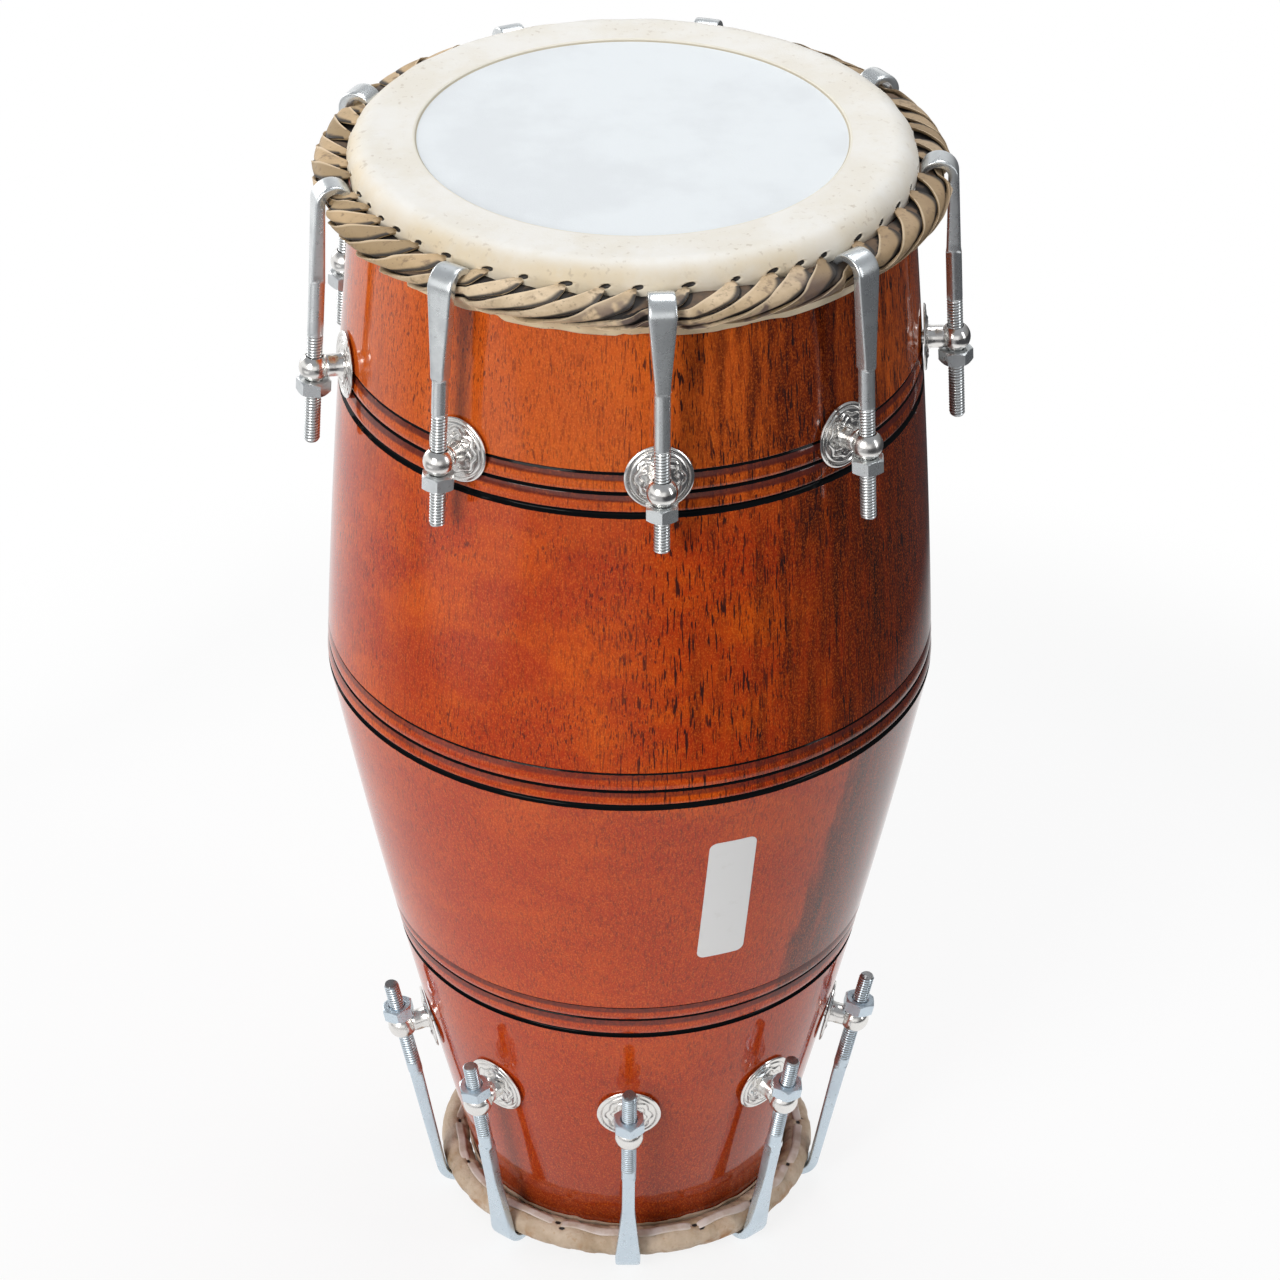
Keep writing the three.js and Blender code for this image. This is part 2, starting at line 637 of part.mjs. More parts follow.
const group = new THREE.Group();
group.add(
  named('shell', geometryOf(shellSolid()), varnishedWood),
  named('bass_head_skin', geometryOf(bassSkinSolid()), headSkin),
  named('bass_braid', geometryOf(braidSolid()), strapLeather),
  named('treble_head_skin', geometryOf(trebleSkinSolid()), headSkin),
  named('treble_ring', geometryOf(ringSolid()), ringLeather),
  named('treble_tuning_patch', geometryOf(patchSolid()), blackPaste),
  tensioners('bass', bassPlace, bassAzimuths, bassNutTurns, (index) => ({
    tail: bassRodTail * bassTailShares[index],
    shoulder: bassShoulder * bassShoulderShares[index],
    neckWidth: bassNeckWidth,
    neckLength: bassNeckLength,
    sweep: bassHookSweep,
  })),
  tensioners('treble', treblePlace, trebleAzimuths, trebleNutTurns, (index) => ({
    tail: trebleRodTail * trebleTailShares[index],
    shoulder: trebleShoulder,
    neckWidth: trebleNeckWidth,
    neckLength: trebleNeckLength,
    sweep: trebleHookSweep,
  })),
);

export default group;
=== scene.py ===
"""Naal: a barrel drum tuned by hooked bolts, standing on its treble head.

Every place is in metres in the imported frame: the drum's axis is Z, its front is -Y, and azimuths
run from the front towards +X. Sizes of the drum's pieces are in millimetres, as on a drawing.
"""

import math

import bpy
import numpy as np
from mathutils import Matrix, Vector


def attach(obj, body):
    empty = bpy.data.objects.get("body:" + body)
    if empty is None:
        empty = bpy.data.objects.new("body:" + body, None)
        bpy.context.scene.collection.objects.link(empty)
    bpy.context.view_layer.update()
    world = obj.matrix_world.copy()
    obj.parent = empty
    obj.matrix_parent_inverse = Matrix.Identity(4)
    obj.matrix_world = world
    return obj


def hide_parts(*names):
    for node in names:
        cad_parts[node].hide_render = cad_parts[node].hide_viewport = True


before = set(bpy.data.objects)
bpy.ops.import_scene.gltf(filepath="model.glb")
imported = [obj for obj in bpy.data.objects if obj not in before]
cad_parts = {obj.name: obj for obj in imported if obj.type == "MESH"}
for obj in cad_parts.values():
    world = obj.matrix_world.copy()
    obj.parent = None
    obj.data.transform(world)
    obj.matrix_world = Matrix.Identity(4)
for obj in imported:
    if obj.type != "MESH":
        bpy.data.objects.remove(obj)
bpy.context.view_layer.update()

MM = 0.001


# Camera
# A long lens in front of the drum and above it, with the slight roll and turn of the photograph.
camera_lens, camera_sensor = 136.24, 36.0
camera_place = (0.0, -1.680, 1.340)
camera_pitch, camera_roll, camera_turn = (math.radians(a) for a in (32.535, 0.431, -0.146))


def new_object(name, data):
    """An object with that data, linked into the scene."""
    item = bpy.data.objects.new(name, data)
    bpy.context.scene.collection.objects.link(item)
    return item


camera_data = bpy.data.cameras.new("camera")
camera_data.sensor_width = camera_sensor
camera_data.lens = camera_lens
camera = new_object("camera", camera_data)
camera.matrix_world = (
    Matrix.Translation(camera_place)
    @ Matrix.Rotation(camera_turn, 4, "Z")
    @ Matrix.Rotation(math.pi / 2 - camera_pitch, 4, "X")
    @ Matrix.Rotation(camera_roll, 4, "Z")
)
bpy.context.scene.camera = camera
bpy.context.scene.view_settings.view_transform = "Standard"


# Lamps and sky
# Soft boxes at the front left, at both sides and overhead. The studio has white walls, and a darker
# ceiling and right side, so that plated metal and varnish have something to reflect.
white = (1.0, 1.0, 1.0)
sky_top = (0.56, 0.585, 0.62)
sky_low = (0.34, 0.33, 0.32)
sky_strength = 0.60
sky_start, sky_end = -0.1, 0.75  # upward parts of the directions between which the sky changes
wall_top, ceiling_edge = 0.28, 0.55  # the same, between which the walls fade out
wall_right_start, wall_right_end = 0.20, 0.65  # parts towards +X in which they fade out
lamp_aim = Vector((0.0, 0.0, 0.27))
# Each lamp: place, width, height, watts, colour
soft_boxes = {
    "key_lamp": ((-1.30, -1.90, 1.30), 0.9, 1.2, 35.0, (1.0, 0.985, 0.96)),
    "side_lamp": ((1.70, -0.70, 0.95), 0.30, 1.3, 6.0, (0.96, 0.98, 1.0)),
    "top_lamp": ((0.25, 0.55, 1.90), 0.9, 0.9, 12.5, (1.0, 1.0, 1.0)),
    "back_lamp": ((-1.30, 1.30, 0.90), 0.6, 1.2, 9.0, (1.0, 0.99, 0.97)),
}


class Nodes:
    """A node tree and short ways to fill it. A value is a number, a colour or a node's socket."""

    def __init__(self, tree):
        self.tree = tree
        tree.nodes.clear()

    def add(self, kind, inputs=None, **settings):
        """Adds a shader node with its settings and inputs. Returns its outputs."""
        node = self.tree.nodes.new("ShaderNode" + kind)
        for key, value in settings.items():
            setattr(node, key, value)
        for key, value in (inputs or {}).items():
            socket = node.inputs[key]
            if isinstance(value, bpy.types.NodeSocket):
                self.tree.links.new(value, socket)
            else:
                socket.default_value = (*value, 1.0) if socket.type == "RGBA" else value
        return node.outputs

    def math(self, operation, *values):
        """The result of one Math node, kept between 0 and 1."""
        return self.add("Math", dict(enumerate(values)), operation=operation, use_clamp=True)[0]

    def times(self, share, *others):
        """The product of shares."""
        for other in others:
            share = self.math("MULTIPLY", share, other)
        return share

    def vector(self, operation, *values):
        """The number that a Vector Math node gives, such as a length."""
        return self.add("VectorMath", dict(enumerate(values)), operation=operation)["Value"]

    def mix(self, share, first, second, mode="MIX"):
        """The colour between first and second at share, from 0 to 1."""
        given = {0: share, 6: first, 7: second}
        return self.add("Mix", given, data_type="RGBA", blend_type=mode)[2]

    def share(self, value, low, high):
        """0 where value is under low, 1 over high, smooth between. low may be the larger."""
        given = {"Value": value, "From Min": low, "From Max": high}
        return self.add("MapRange", given, interpolation_type="SMOOTHSTEP")["Result"]

    def spread(self, share, low, high):
        """low where the share is 0, high where it is 1."""
        return self.add("MapRange", {"Value": share, "To Min": low, "To Max": high})["Result"]

    def place(self, axis=None):
        """Where a point lies in metres, or how far along one axis."""
        place = self.add("TexCoord")["Object"]
        return self.add("SeparateXYZ", {"Vector": place})[axis] if axis else place

    def noise(self, cells, along_grain=1.0, detail=3.0, roughness=0.55, shift=0.0):
        """Noise with that many cells to a metre, drawn out along Z by along_grain."""
        given = {"Scale": (1.0, 1.0, 1.0 / along_grain), "Location": (shift, 0.0, 0.0)}
        drawn = self.add("Mapping", {"Vector": self.place(), **given})[0]
        given = {"Vector": drawn, "Scale": cells, "Detail": detail, "Roughness": roughness}
        return self.add("TexNoise", given)["Fac"]

    def patches(self, noise, low, high):
        """The share of a noise, whose values are in a tuple, between low and high."""
        return self.share(self.noise(*noise), low, high)

    def painted(self, name):
        """The values of a point attribute."""
        return self.add("Attribute", attribute_name=name)["Fac"]

    def stage_share(self, seen, mirrored):
        """One share for the camera's rays, one for mirrors' and glass's, none for other light."""
        rays = self.add("LightPath")
        mirror = self.math("MAXIMUM", rays["Is Glossy Ray"], rays["Is Transmission Ray"])
        seen = self.times(rays["Is Camera Ray"], seen)
        return self.math("MAXIMUM", seen, self.times(mirror, mirrored))


for name, (place, width, height, watts, colour) in soft_boxes.items():
    lamp = bpy.data.lights.new(name, "AREA")
    lamp.shape, lamp.size, lamp.size_y = "RECTANGLE", width, height
    lamp.energy, lamp.color = watts, colour
    box = new_object(name, lamp)
    box.location = place
    box.rotation_euler = (lamp_aim - Vector(place)).to_track_quat("-Z", "Y").to_euler()

world = bpy.data.worlds.new("studio")
bpy.context.scene.world = world
world.use_nodes = True
sky = Nodes(world.node_tree)
ways = sky.add("SeparateXYZ", {"Vector": sky.add("TexCoord")["Generated"]})
rise = sky.add("MapRange", {"Value": ways["Z"], "From Min": sky_start, "From Max": sky_end})
sky_colour = sky.mix(rise["Result"], sky_low, sky_top)
lit = sky.add("Background", {"Color": sky_colour, "Strength": sky_strength})
seen = sky.add("Background", {"Color": white, "Strength": 1.0})
low_down = sky.share(ways["Z"], ceiling_edge, wall_top)
wall_share = sky.times(low_down, sky.share(ways["X"], wall_right_end, wall_right_start))
either = sky.add("MixShader", {0: sky.stage_share(1.0, wall_share), 1: lit[0], 2: seen[0]})
sky.add("OutputWorld", {"Surface": either[0]})


# Floor
# White paper under the drum, behind it on the left and at the front left, on a dark floor. To the
# camera all show white, with the drum's soft shadow. In varnish and metal only the paper does.
floor_half_side = 6.0
paper_white = (0.90, 0.90, 0.90)
floor_grey, floor_dark = (0.36, 0.36, 0.37), (0.06, 0.06, 0.065)
paper_glow_share, floor_glow_share = 0.84, 1.0
dark_start, dark_end = -0.10, 0.28  # along X, between which the floor goes from grey to dark
paper_edge, paper_end = 0.36, 0.62  # distances from the drum between which the paper fades out
left_edge, left_end = -0.32, -0.06  # the same for the paper on the left, along X
behind_end, behind_edge = -0.15, 0.45  # and along Y
front_sheet, sheet_edge, sheet_end = (-0.95, -0.55, 0.0), 0.25, 0.48  # a sheet at the front left


class Finish(Nodes):
    """A material being built: a ground colour, and what is laid over it step by step."""

    def __init__(self, name, ground):
        self.material = bpy.data.materials.new(name)
        self.material.use_nodes = True
        super().__init__(self.material.node_tree)
        self.colour = ground

    def tint(self, share, colour, *amounts, mode="MIX"):
        """Lays a colour over what is there, by a share times the given amounts."""
        self.colour = self.mix(self.times(share, *amounts), self.colour, colour, mode)

    def bump(self, height, strength, distance, under=None, invert=False):
        """A bumped normal, over the one under it. distance is in metres."""
        given = {"Height": height, "Strength": strength, "Distance": distance}
        if under is not None:
            given["Normal"] = under
        return self.add("Bump", given, invert=invert)[0]

    def principled(self, **inputs):
        """The shader with this colour and these inputs, named with _ for each space."""
        named = {key.replace("_", " "): value for key, value in inputs.items()}
        return self.add("BsdfPrincipled", {"Base Color": self.colour, **named})[0]

    def shade(self, **inputs):
        """Ends the material with its principled shader. Returns the material."""
        self.add("OutputMaterial", {"Surface": self.principled(**inputs)})
        return self.material


corners = [(-1, -1), (1, -1), (1, 1), (-1, 1)]
floor_corners = [(x * floor_half_side, y * floor_half_side, 0.0) for x, y in corners]
floor_mesh = bpy.data.meshes.new("floor")
floor_mesh.from_pydata(floor_corners, [], [(0, 1, 2, 3)])
floor = new_object("floor", floor_mesh)
paper = Finish("floor_paper", floor_grey)
ways = paper.add("SeparateXYZ", {"Vector": paper.place()})
by_drum = paper.share(paper.vector("LENGTH", paper.place()), paper_end, paper_edge)
on_left = paper.share(ways["X"], left_end, left_edge)
on_left = paper.times(on_left, paper.share(ways["Y"], behind_end, behind_edge))
on_sheet = paper.share(paper.vector("DISTANCE", paper.place(), front_sheet), sheet_end, sheet_edge)
on_paper = paper.math("MAXIMUM", paper.math("MAXIMUM", by_drum, on_left), on_sheet)
paper.tint(paper.share(ways["X"], dark_start, dark_end), floor_dark)
paper.tint(on_paper, paper_white)
lit = paper.principled(Roughness=0.9, Specular_IOR_Level=0.1)
glow = paper.add("Emission", {"Color": white, "Strength": 1.0})[0]
seen_share = paper.spread(by_drum, floor_glow_share, paper_glow_share)
glow_share = paper.stage_share(seen_share, paper.times(on_paper, paper_glow_share))
shown = paper.add("MixShader", {0: glow_share, 1: lit, 2: glow})[0]
paper.add("OutputMaterial", {"Surface": shown})
floor_mesh.materials.append(paper.material)


# Wooden shell
# Turned from one block, bored through, stained red-brown and varnished. Three sets of lines are
# cut into it on the lathe, each a broad black one, a thin black one and a faint one, with beads
# between them. The block's dark heartwood lies on the drum's front right.
drum_height = 500.0
bass_mouth_radius, belly_radius, treble_mouth_radius = 108.2, 124.0, 65.2
belly_height, bass_mouth_height, treble_mouth_height = 269.5, 490.2, 6.3
bass_bulge, treble_bulge = 1.4, 2.45
shell_top, shell_bottom = 497.7, 2.3
top_face_inner, bottom_face_inner = 98.0, 56.7  # radii of the end faces' inner edges
bass_edge_round, treble_edge_round = 7.5, 4.0
bore_places = [(95.21, 495.2), (103.58, 397.8), (111.92, 269.5), (85.59, 138.3), (54.19, 4.8)]
# Each set: depth of the coves beside its beads, and its lines from the broad one up. Each line:
# height of its middle, width, depth, share of black stain
line_sets = [
    (0.85, [(397.8, 2.7, 1.5, 1.0), (406.6, 1.6, 1.4, 0.95), (415.1, 1.5, 1.1, 0.85)]),
    (0.45, [(269.5, 2.7, 1.5, 1.0), (276.8, 1.3, 1.1, 0.95), (284.7, 1.0, 0.7, 0.75)]),
    (0.70, [(138.3, 2.4, 1.5, 1.0), (147.4, 1.3, 1.2, 0.95), (154.6, 0.9, 0.8, 0.62)]),
]
heart_degrees = [-4, 10, 22, 34, 46, 64, 112, 150]
heart_shares = [0, 0.22, 0.36, 0.66, 0.86, 0.94, 0.9, 0]
deepest_cove, crest = 0.85, 0.34  # crest: where a bead is highest, as a share of its height
line_power, cove_power = 2.4, 1.8  # how square the section of a line and of a cove is
brown_start, brown_blend = 0.58, 0.10  # where a bead's browned face starts, as shares of its height
set_start, set_end, set_step = 2.1, 19.0, 0.3  # fine rows from below each set's first line
shell_columns, edge_rows = 216, 7
varnish_orange = (0.64, 0.085, 0.005)
varnish_amber = (0.72, 0.140, 0.017)
varnish_red = (0.47, 0.041, 0.006)
varnish_brown = (0.20, 0.024, 0.006)
heartwood = (0.130, 0.0150, 0.004)
heart_black = (0.028, 0.009, 0.006)
pore_brown = (0.018, 0.009, 0.010)
cove_brown = (0.100, 0.022, 0.019)
line_black = (0.005, 0.006, 0.007)
# Heights in metres between which the finish changes
amber_above, open_grain_above = (0.375, 0.425), (0.255, 0.285)
red_below, redder_below = (0.275, 0.255), (0.15, 0.05)
brown_below, ring_shade_below = (0.15, 0.02), (0.044, 0.018)
# Noises: cells to a metre, length along the grain, detail, roughness, shift
figure, clouds = (24.0, 0.6, 5.0, 0.6), (8.0, 1.5, 3.0, 0.5, 4.0)
streaks, narrow_streaks = (62.0, 15.0, 4.0, 0.62, 2.0), (170.0, 20.0, 5.0, 0.66, 9.0)
fibres, grain = (1000.0, 7.0, 3.0, 0.6), (1700.0, 1.6, 3.0, 0.6, 2.6)
small_pore, small_pore_field = (1500.0, 5.0, 1.5, 0.5, 0.3), (30.0, 1.0, 3.0, 0.6, 5.0)
open_pore, open_pore_field = (1150.0, 15.0, 1.5, 0.5, 6.3), (26.0, 3.0, 3.0, 0.6, 8.0)
ragged_edge = (420.0, 0.6, 3.0, 0.7, 1.0)


def polar(radius, azimuth, height):
    """Places in metres from millimetres and radians: azimuth 0 is the front, growing towards +X."""
    radius, azimuth, height = np.broadcast_arrays(radius, azimuth, height)
    return np.stack([radius * np.sin(azimuth), -radius * np.cos(azimuth), height], -1) * MM


def turn_round(columns):
    """A row of that many azimuths, evenly round the circle."""
    return np.arange(columns)[None] * (2 * math.pi / columns)


def lathe(profile, columns):
    """Places of a profile of (radius, height) points turned round the drum's axis."""
    return polar(profile[:, :1], turn_round(columns), profile[:, 1:])


def surface(places, tube=False, capped=False):
    """(places, faces) of a (rows, columns, 3) grid whose columns join up.

    A tube's last row joins its first. capped closes both ends to a middle point.
    """
    rows, columns = places.shape[:2]
    index = np.arange(rows * columns).reshape(rows, columns)
    this_row, next_row = (index, np.roll(index, -1, 0)) if tube else (index[:-1], index[1:])
    turned = [this_row, np.roll(this_row, -1, 1), np.roll(next_row, -1, 1), next_row]
    faces = np.stack([corner.ravel() for corner in turned], -1).tolist()
    flat = places.reshape(-1, 3)
    if capped:
        first, last, foot = len(flat), len(flat) + 1, (rows - 1) * columns
        flat = np.concatenate([flat, places[:1].mean(1), places[-1:].mean(1)])
        for side in range(columns):
            beside = (side + 1) % columns
            faces += [[first, beside, side], [last, foot + side, foot + beside]]
    return flat, faces


def add_piece(name, parts, material, replaced=(), paint=None, sharp=42.0, body="drum"):
    """One piece from its (places, faces) parts: smooth, sharp at edges over that many degrees.

    paint holds per-point values by attribute name. The piece rides on body, is finished with
    material, and stands for the solids named in replaced.
    """
    offsets = np.cumsum([0] + [len(places) for places, faces in parts]).tolist()
    places = np.concatenate([places for places, faces in parts])
    faces = [
        [corner + offset for corner in face]
        for (part_places, part_faces), offset in zip(parts, offsets)
        for face in part_faces
    ]
    mesh = bpy.data.meshes.new(name)
    mesh.from_pydata(places.tolist(), [], faces)
    for key, values in (paint or {}).items():
        attribute = mesh.attributes.new(key, "FLOAT", "POINT")
        attribute.data.foreach_set("value", np.asarray(values, np.float32).ravel())
    mesh.shade_smooth()
    mesh.set_sharp_from_angle(angle=math.radians(sharp))
    mesh.materials.append(material)
    piece = new_object(name, mesh)
    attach(piece, body)
    if replaced:
        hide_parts(*replaced)


def unit(value):
    """Values kept between 0 and 1."""
    return np.clip(value, 0, 1)


def side_radius(height):
    """The wood's outer radius: two bowed stretches that meet at the belly."""
    height = np.asarray(height, float)
    upper = height >= belly_height
    mouth_height = np.where(upper, bass_mouth_height, treble_mouth_height)
    mouth_radius = np.where(upper, bass_mouth_radius, treble_mouth_radius)
    bulge = np.where(upper, bass_bulge, treble_bulge)
    along = unit((height - mouth_height) / (belly_height - mouth_height))
    return mouth_radius + (belly_radius - mouth_radius) * along + 4 * along * (1 - along) * bulge


def arc(centre, radius, start, end, steps):
    """Points on a circle in the (radius, height) plane, start and end in degrees."""
    angle = np.radians(np.linspace(start, end, steps))
    return np.stack([centre[0] + radius * np.cos(angle), centre[1] + radius * np.sin(angle)], -1)


def line_depths(height):
    """How deep the turned lines lie at each height, how black they are, and how browned the coves.

    A line is a round-bottomed cut. Between the lines of a set the wood is a bead with its crest
    low down, and its long upper face was browned by the lathe tool.
    """
    depth, stain, browned = np.zeros((3, len(height)))
    for cove_depth, lines in line_sets:
        for middle, width, cut, black in lines:
            across = np.abs(height - middle) / (width / 2)
            depth = np.maximum(depth, cut * unit(1 - across**line_power))
            stain = np.maximum(stain, black * unit((1.25 - across) / 0.3))
        middles = [line[0] for line in lines]
        for start, end in zip(middles, middles[1:]):
            rise = unit((height - start) / (end - start))
            side = np.abs(rise - crest) / np.where(rise < crest, crest, 1 - crest)
            inside = (height > start) & (height < end)
            depth = np.where(inside, np.maximum(depth, cove_depth * side**cove_power), depth)
            cove = unit((rise - brown_start) / brown_blend)
            cove = cove * (0.4 + 0.6 * cove_depth / deepest_cove)
            browned = np.where(inside, cove, browned)
    return depth, stain, browned


def ease(value, low, high):
    """0 under low, 1 over high, smooth between, on arrays. low may be the larger."""
    share = unit((value - low) / (high - low))
    return share**2 * (3 - 2 * share)


def heart_share_at(turned, height):
    """How much of the wood is heartwood, from degrees round the drum and millimetres up.

    Above the belly it grows from the front to the right and fades at the back. Below, it is one
    band whose near edge moves towards the front as it goes down.
    """
    above = np.interp(turned, heart_degrees, heart_shares)
    near_bass = ease(height, 392, 416)
    above = above - 0.42 * (near_bass * ease(turned, 40, 62))
    above = above + 0.16 * near_bass * ease(turned, 6, 16) * ease(turned, 46, 34)
    near_edge = 37 + 9 * (height - 150) / 110
    below = ease(turned, near_edge - 2.5, near_edge + 2.5) * ease(turned, 104, 60)
    below = 0.92 * below * ease(height, 134, 156)
    upper = ease(height, 268, 272)
    return above * upper + below * (1 - upper)


coarse = np.linspace(treble_mouth_height, bass_mouth_height, 70)
first_lines = [lines[0][0] for depth, lines in line_sets]
fine = [np.arange(low - set_start, low + set_end, set_step) for low in first_lines]
side_heights = np.unique(np.round(np.concatenate([coarse, *fine]), 3))
cut_depth, *line_marks = line_depths(side_heights)
bass_edge = (bass_mouth_radius - bass_edge_round, bass_mouth_height)
treble_edge = (treble_mouth_radius - treble_edge_round, treble_mouth_height)
shell_profile = np.concatenate([
    arc(treble_edge, treble_edge_round, -90, -8, edge_rows),
    np.stack([side_radius(side_heights) - cut_depth, side_heights], -1),
    arc(bass_edge, bass_edge_round, 8, 90, 9),
    [(top_face_inner, shell_top)],
    bore_places,
    [(bottom_face_inner, shell_bottom)],
])
shell_marks = np.zeros((2, len(shell_profile), shell_columns))
shell_marks[:, edge_rows : edge_rows + len(side_heights)] = np.stack(line_marks)[..., None]
shell_degrees = (np.degrees(turn_round(shell_columns)) + 180) % 360 - 180
# Open grain shows as long dark pores on the front and the right, and as small ones on the left.
long_pores = ease(shell_degrees, -16, 8) * (0.30 + 0.70 * ease(shell_profile[:, 1:], 262, 278))

wood = Finish("varnished_wood", varnish_orange)
up = wood.place("Z")
wood.tint(wood.patches(figure, 0.33, 0.60), varnish_red)
wood.tint(wood.patches(clouds, 0.44, 0.66), varnish_red, 0.55)
wood.tint(wood.share(up, *amber_above), varnish_amber, 0.60)
below_belly = wood.times(wood.share(up, *red_below), 0.45)
redder = wood.math("ADD", below_belly, wood.times(wood.share(up, *redder_below), 0.4))
wood.tint(redder, varnish_red)
wood.tint(wood.patches(streaks, 0.60, 0.78), varnish_brown, 0.55)
by_ring = wood.times(wood.share(up, *ring_shade_below), 0.50)
browner = wood.math("ADD", wood.times(wood.share(up, *brown_below), 0.34), by_ring)
wood.tint(browner, varnish_brown)
narrow = wood.noise(*narrow_streaks)
heart = wood.math("ADD", wood.painted("heart"), wood.spread(narrow, -0.75, 0.75))
wood.tint(wood.share(heart, 0.20, 0.95), heartwood)
wood.tint(wood.share(narrow, 0.50, 0.64), heart_black, wood.painted("heart"), 0.80)
wood.tint(wood.patches(fibres, 0.48, 0.70), varnish_brown, 0.56)
wood.tint(wood.patches(grain, 0.46, 0.68), varnish_amber, 0.46, mode="SCREEN")
pore_field = wood.patches(small_pore_field, 0.34, 0.62)
finer_below = wood.spread(wood.share(up, *open_grain_above), 0.45, 1.0)
small_pores = wood.times(wood.patches(small_pore, 0.585, 0.66), pore_field, finer_below)
open_field = wood.patches(open_pore_field, 0.30, 0.52)
open_pores = wood.patches(open_pore, 0.595, 0.635)
open_pores = wood.times(open_pores, open_field, wood.painted("long_pores"))
wood.tint(small_pores, pore_brown, 0.70)
wood.tint(open_pores, pore_brown, 0.92)
ragged = wood.spread(wood.noise(*ragged_edge), 0.35, 1.65)
wood.tint(wood.painted("cove"), cove_brown, ragged, 0.90)
stained = wood.share(wood.times(wood.painted("line_stain"), ragged), 0.38, 0.58)
wood.tint(stained, line_black)
hollows = wood.math("MAXIMUM", small_pores, open_pores)
varnished_wood = wood.shade(
    Roughness=0.5, Specular_IOR_Level=0.0, Normal=wood.bump(hollows, 0.25, 0.0002, invert=True),
    Coat_Weight=wood.spread(stained, 1.0, 0.15), Coat_Roughness=0.07, Coat_IOR=1.40,
)
shell_paint = {
    "line_stain": shell_marks[0], "cove": shell_marks[1], "long_pores": long_pores,
    "heart": heart_share_at(shell_degrees, shell_profile[:, 1:]),
}
shell_parts = [surface(lathe(shell_profile, shell_columns), tube=True)]
add_piece("wooden_shell", shell_parts, varnished_wood, ["shell"], shell_paint)


# Paper label
# A blank white paper label with rounded corners, a little soiled, glued on the varnish below the
# belly so that it follows the wood's curve.
label_azimuth, label_height = math.radians(20.4), 214.2
label_width, label_length, label_corner = 20.0, 65.7, 3.2
label_thickness, label_lift = 0.16, 0.04
label_step = 2.5  # between the points of its outline
label_white = (0.84, 0.84, 0.83)
label_worn = (0.72, 0.71, 0.68)
label_soil = (130.0, 1.0, 5.0, 0.65)


def rounded_outline(width, length, corner, steps):
    """A rectangle with round corners, counter-clockwise, as (across, along) points."""
    points = []
    for sign_x, sign_y, start in ((1, -1, -90), (1, 1, 0), (-1, 1, 90), (-1, -1, 180)):
        centre = (sign_x * (width / 2 - corner), sign_y * (length / 2 - corner))
        points.append(arc(centre, corner, start, start + 90, steps))
    sides = np.concatenate(points)
    fuller = []
    for point, ahead in zip(sides, np.roll(sides, -1, 0)):
        count = max(1, int(np.hypot(*(ahead - point)) / label_step))
        fuller.append(point + (ahead - point) * np.arange(count)[:, None] / count)
    return np.concatenate(fuller)


def on_side(across, along, lift):
    """Places on the wood, lifted from it, from millimetres across and along the label."""
    slope = float(side_radius(label_height + 1) - side_radius(label_height - 1)) / 2
    height = label_height + along / math.hypot(1, slope)
    return polar(side_radius(height) + lift, label_azimuth + across / side_radius(height), height)


outline = rounded_outline(label_width, label_length, label_corner, 7)
rings = [(share, label_lift + label_thickness) for share in (0.02, 0.25, 0.5, 0.75, 0.95, 1.0)]
rings.append((1.0, label_lift))
label_grid = np.stack([
    on_side(outline[:, 0] * share, outline[:, 1] * share, lift) for share, lift in rings[::-1]
])
label = Finish("label_paper", label_white)
label.tint(label.patches(label_soil, 0.55, 0.90), label_worn)
label_paper = label.shade(Roughness=0.38, Coat_Weight=0.3, Coat_Roughness=0.15)
add_piece("blank_label", [surface(label_grid, capped=True)], label_paper)


# Bass head
# Scraped goat skin over the mouth, with a second ply as a rim that stops short of the middle. Both
# are rolled over the edge and cut into slits, one for each strap of the braid.
skin_thickness, rim_ply, skin_gap = 1.0, 1.0, 0.3
bass_rim_inner, bass_rim_flat = 84.0, 98.5  # radii between which the rim ply lies flat
bass_skirt_end = 487.0
paste_radius, paste_thickness = 42.0, 2.5
hoop_radius, hoop_height = 118.0, 486.5
strap_count, hooks_per_head = 48, 9
strap_pitch = 2 * math.pi / strap_count
bass_azimuths = np.radians([5.3, 44.6, 87.5, 125.0, 165.4, 204.8, 245.0, 285.1, 325.5])
# The slits were cut by hand, closer together at the sides than at the front, in degrees. Those
# behind are evenly spaced.
front_slits = [
    -103.2, -96.4, -89.6, -84.2, -79.3, -70.4, -65.0, -59.2, -53.6, -46.5, -38.9, -29.1, -21.4,
    -12.8, -5.2, 1.1, 10.9, 20.3, 28.2, 34.4, 40.2, 50.2, 58.4, 66.4, 74.6, 82.7, 92.0, 97.6,
    104.6, 109.7,
]
hook_clearance, hook_reach = math.radians(4.2), math.radians(12.0)
slit_half_width, slit_half_height, slit_depth = 2.3, 1.35, 0.9
slit_lean, slit_flatness, slit_steepness = 0.5, 1.5, 1.8
slit_sag, lip_out, lip_up = 0.3, 0.3, 0.15  # of the skin in a slit, and of its upper lip
slit_widths = 1 + 0.2 * np.cos(2.4 * np.arange(strap_count))[:, None, None]
slit_height, slit_field = 492.0, 104.0  # slit_field: the radius outside which the slits lie
skin_columns, inside_columns = 768, 96
membrane_white = (0.80, 0.835, 0.855)
membrane_grey = (0.75, 0.78, 0.80)
rim_cream = (0.86, 0.84, 0.795)
rim_beige = (0.79, 0.74, 0.64)
shoulder_cream = (0.77, 0.64, 0.44)
hair_brown = (0.36, 0.26, 0.165)
ply_step_highlight_pale = (0.80, 0.76, 0.66)
ply_step_shadow_brown = (0.50, 0.44, 0.33)
hole_shadow_black = (0.012, 0.009, 0.008)
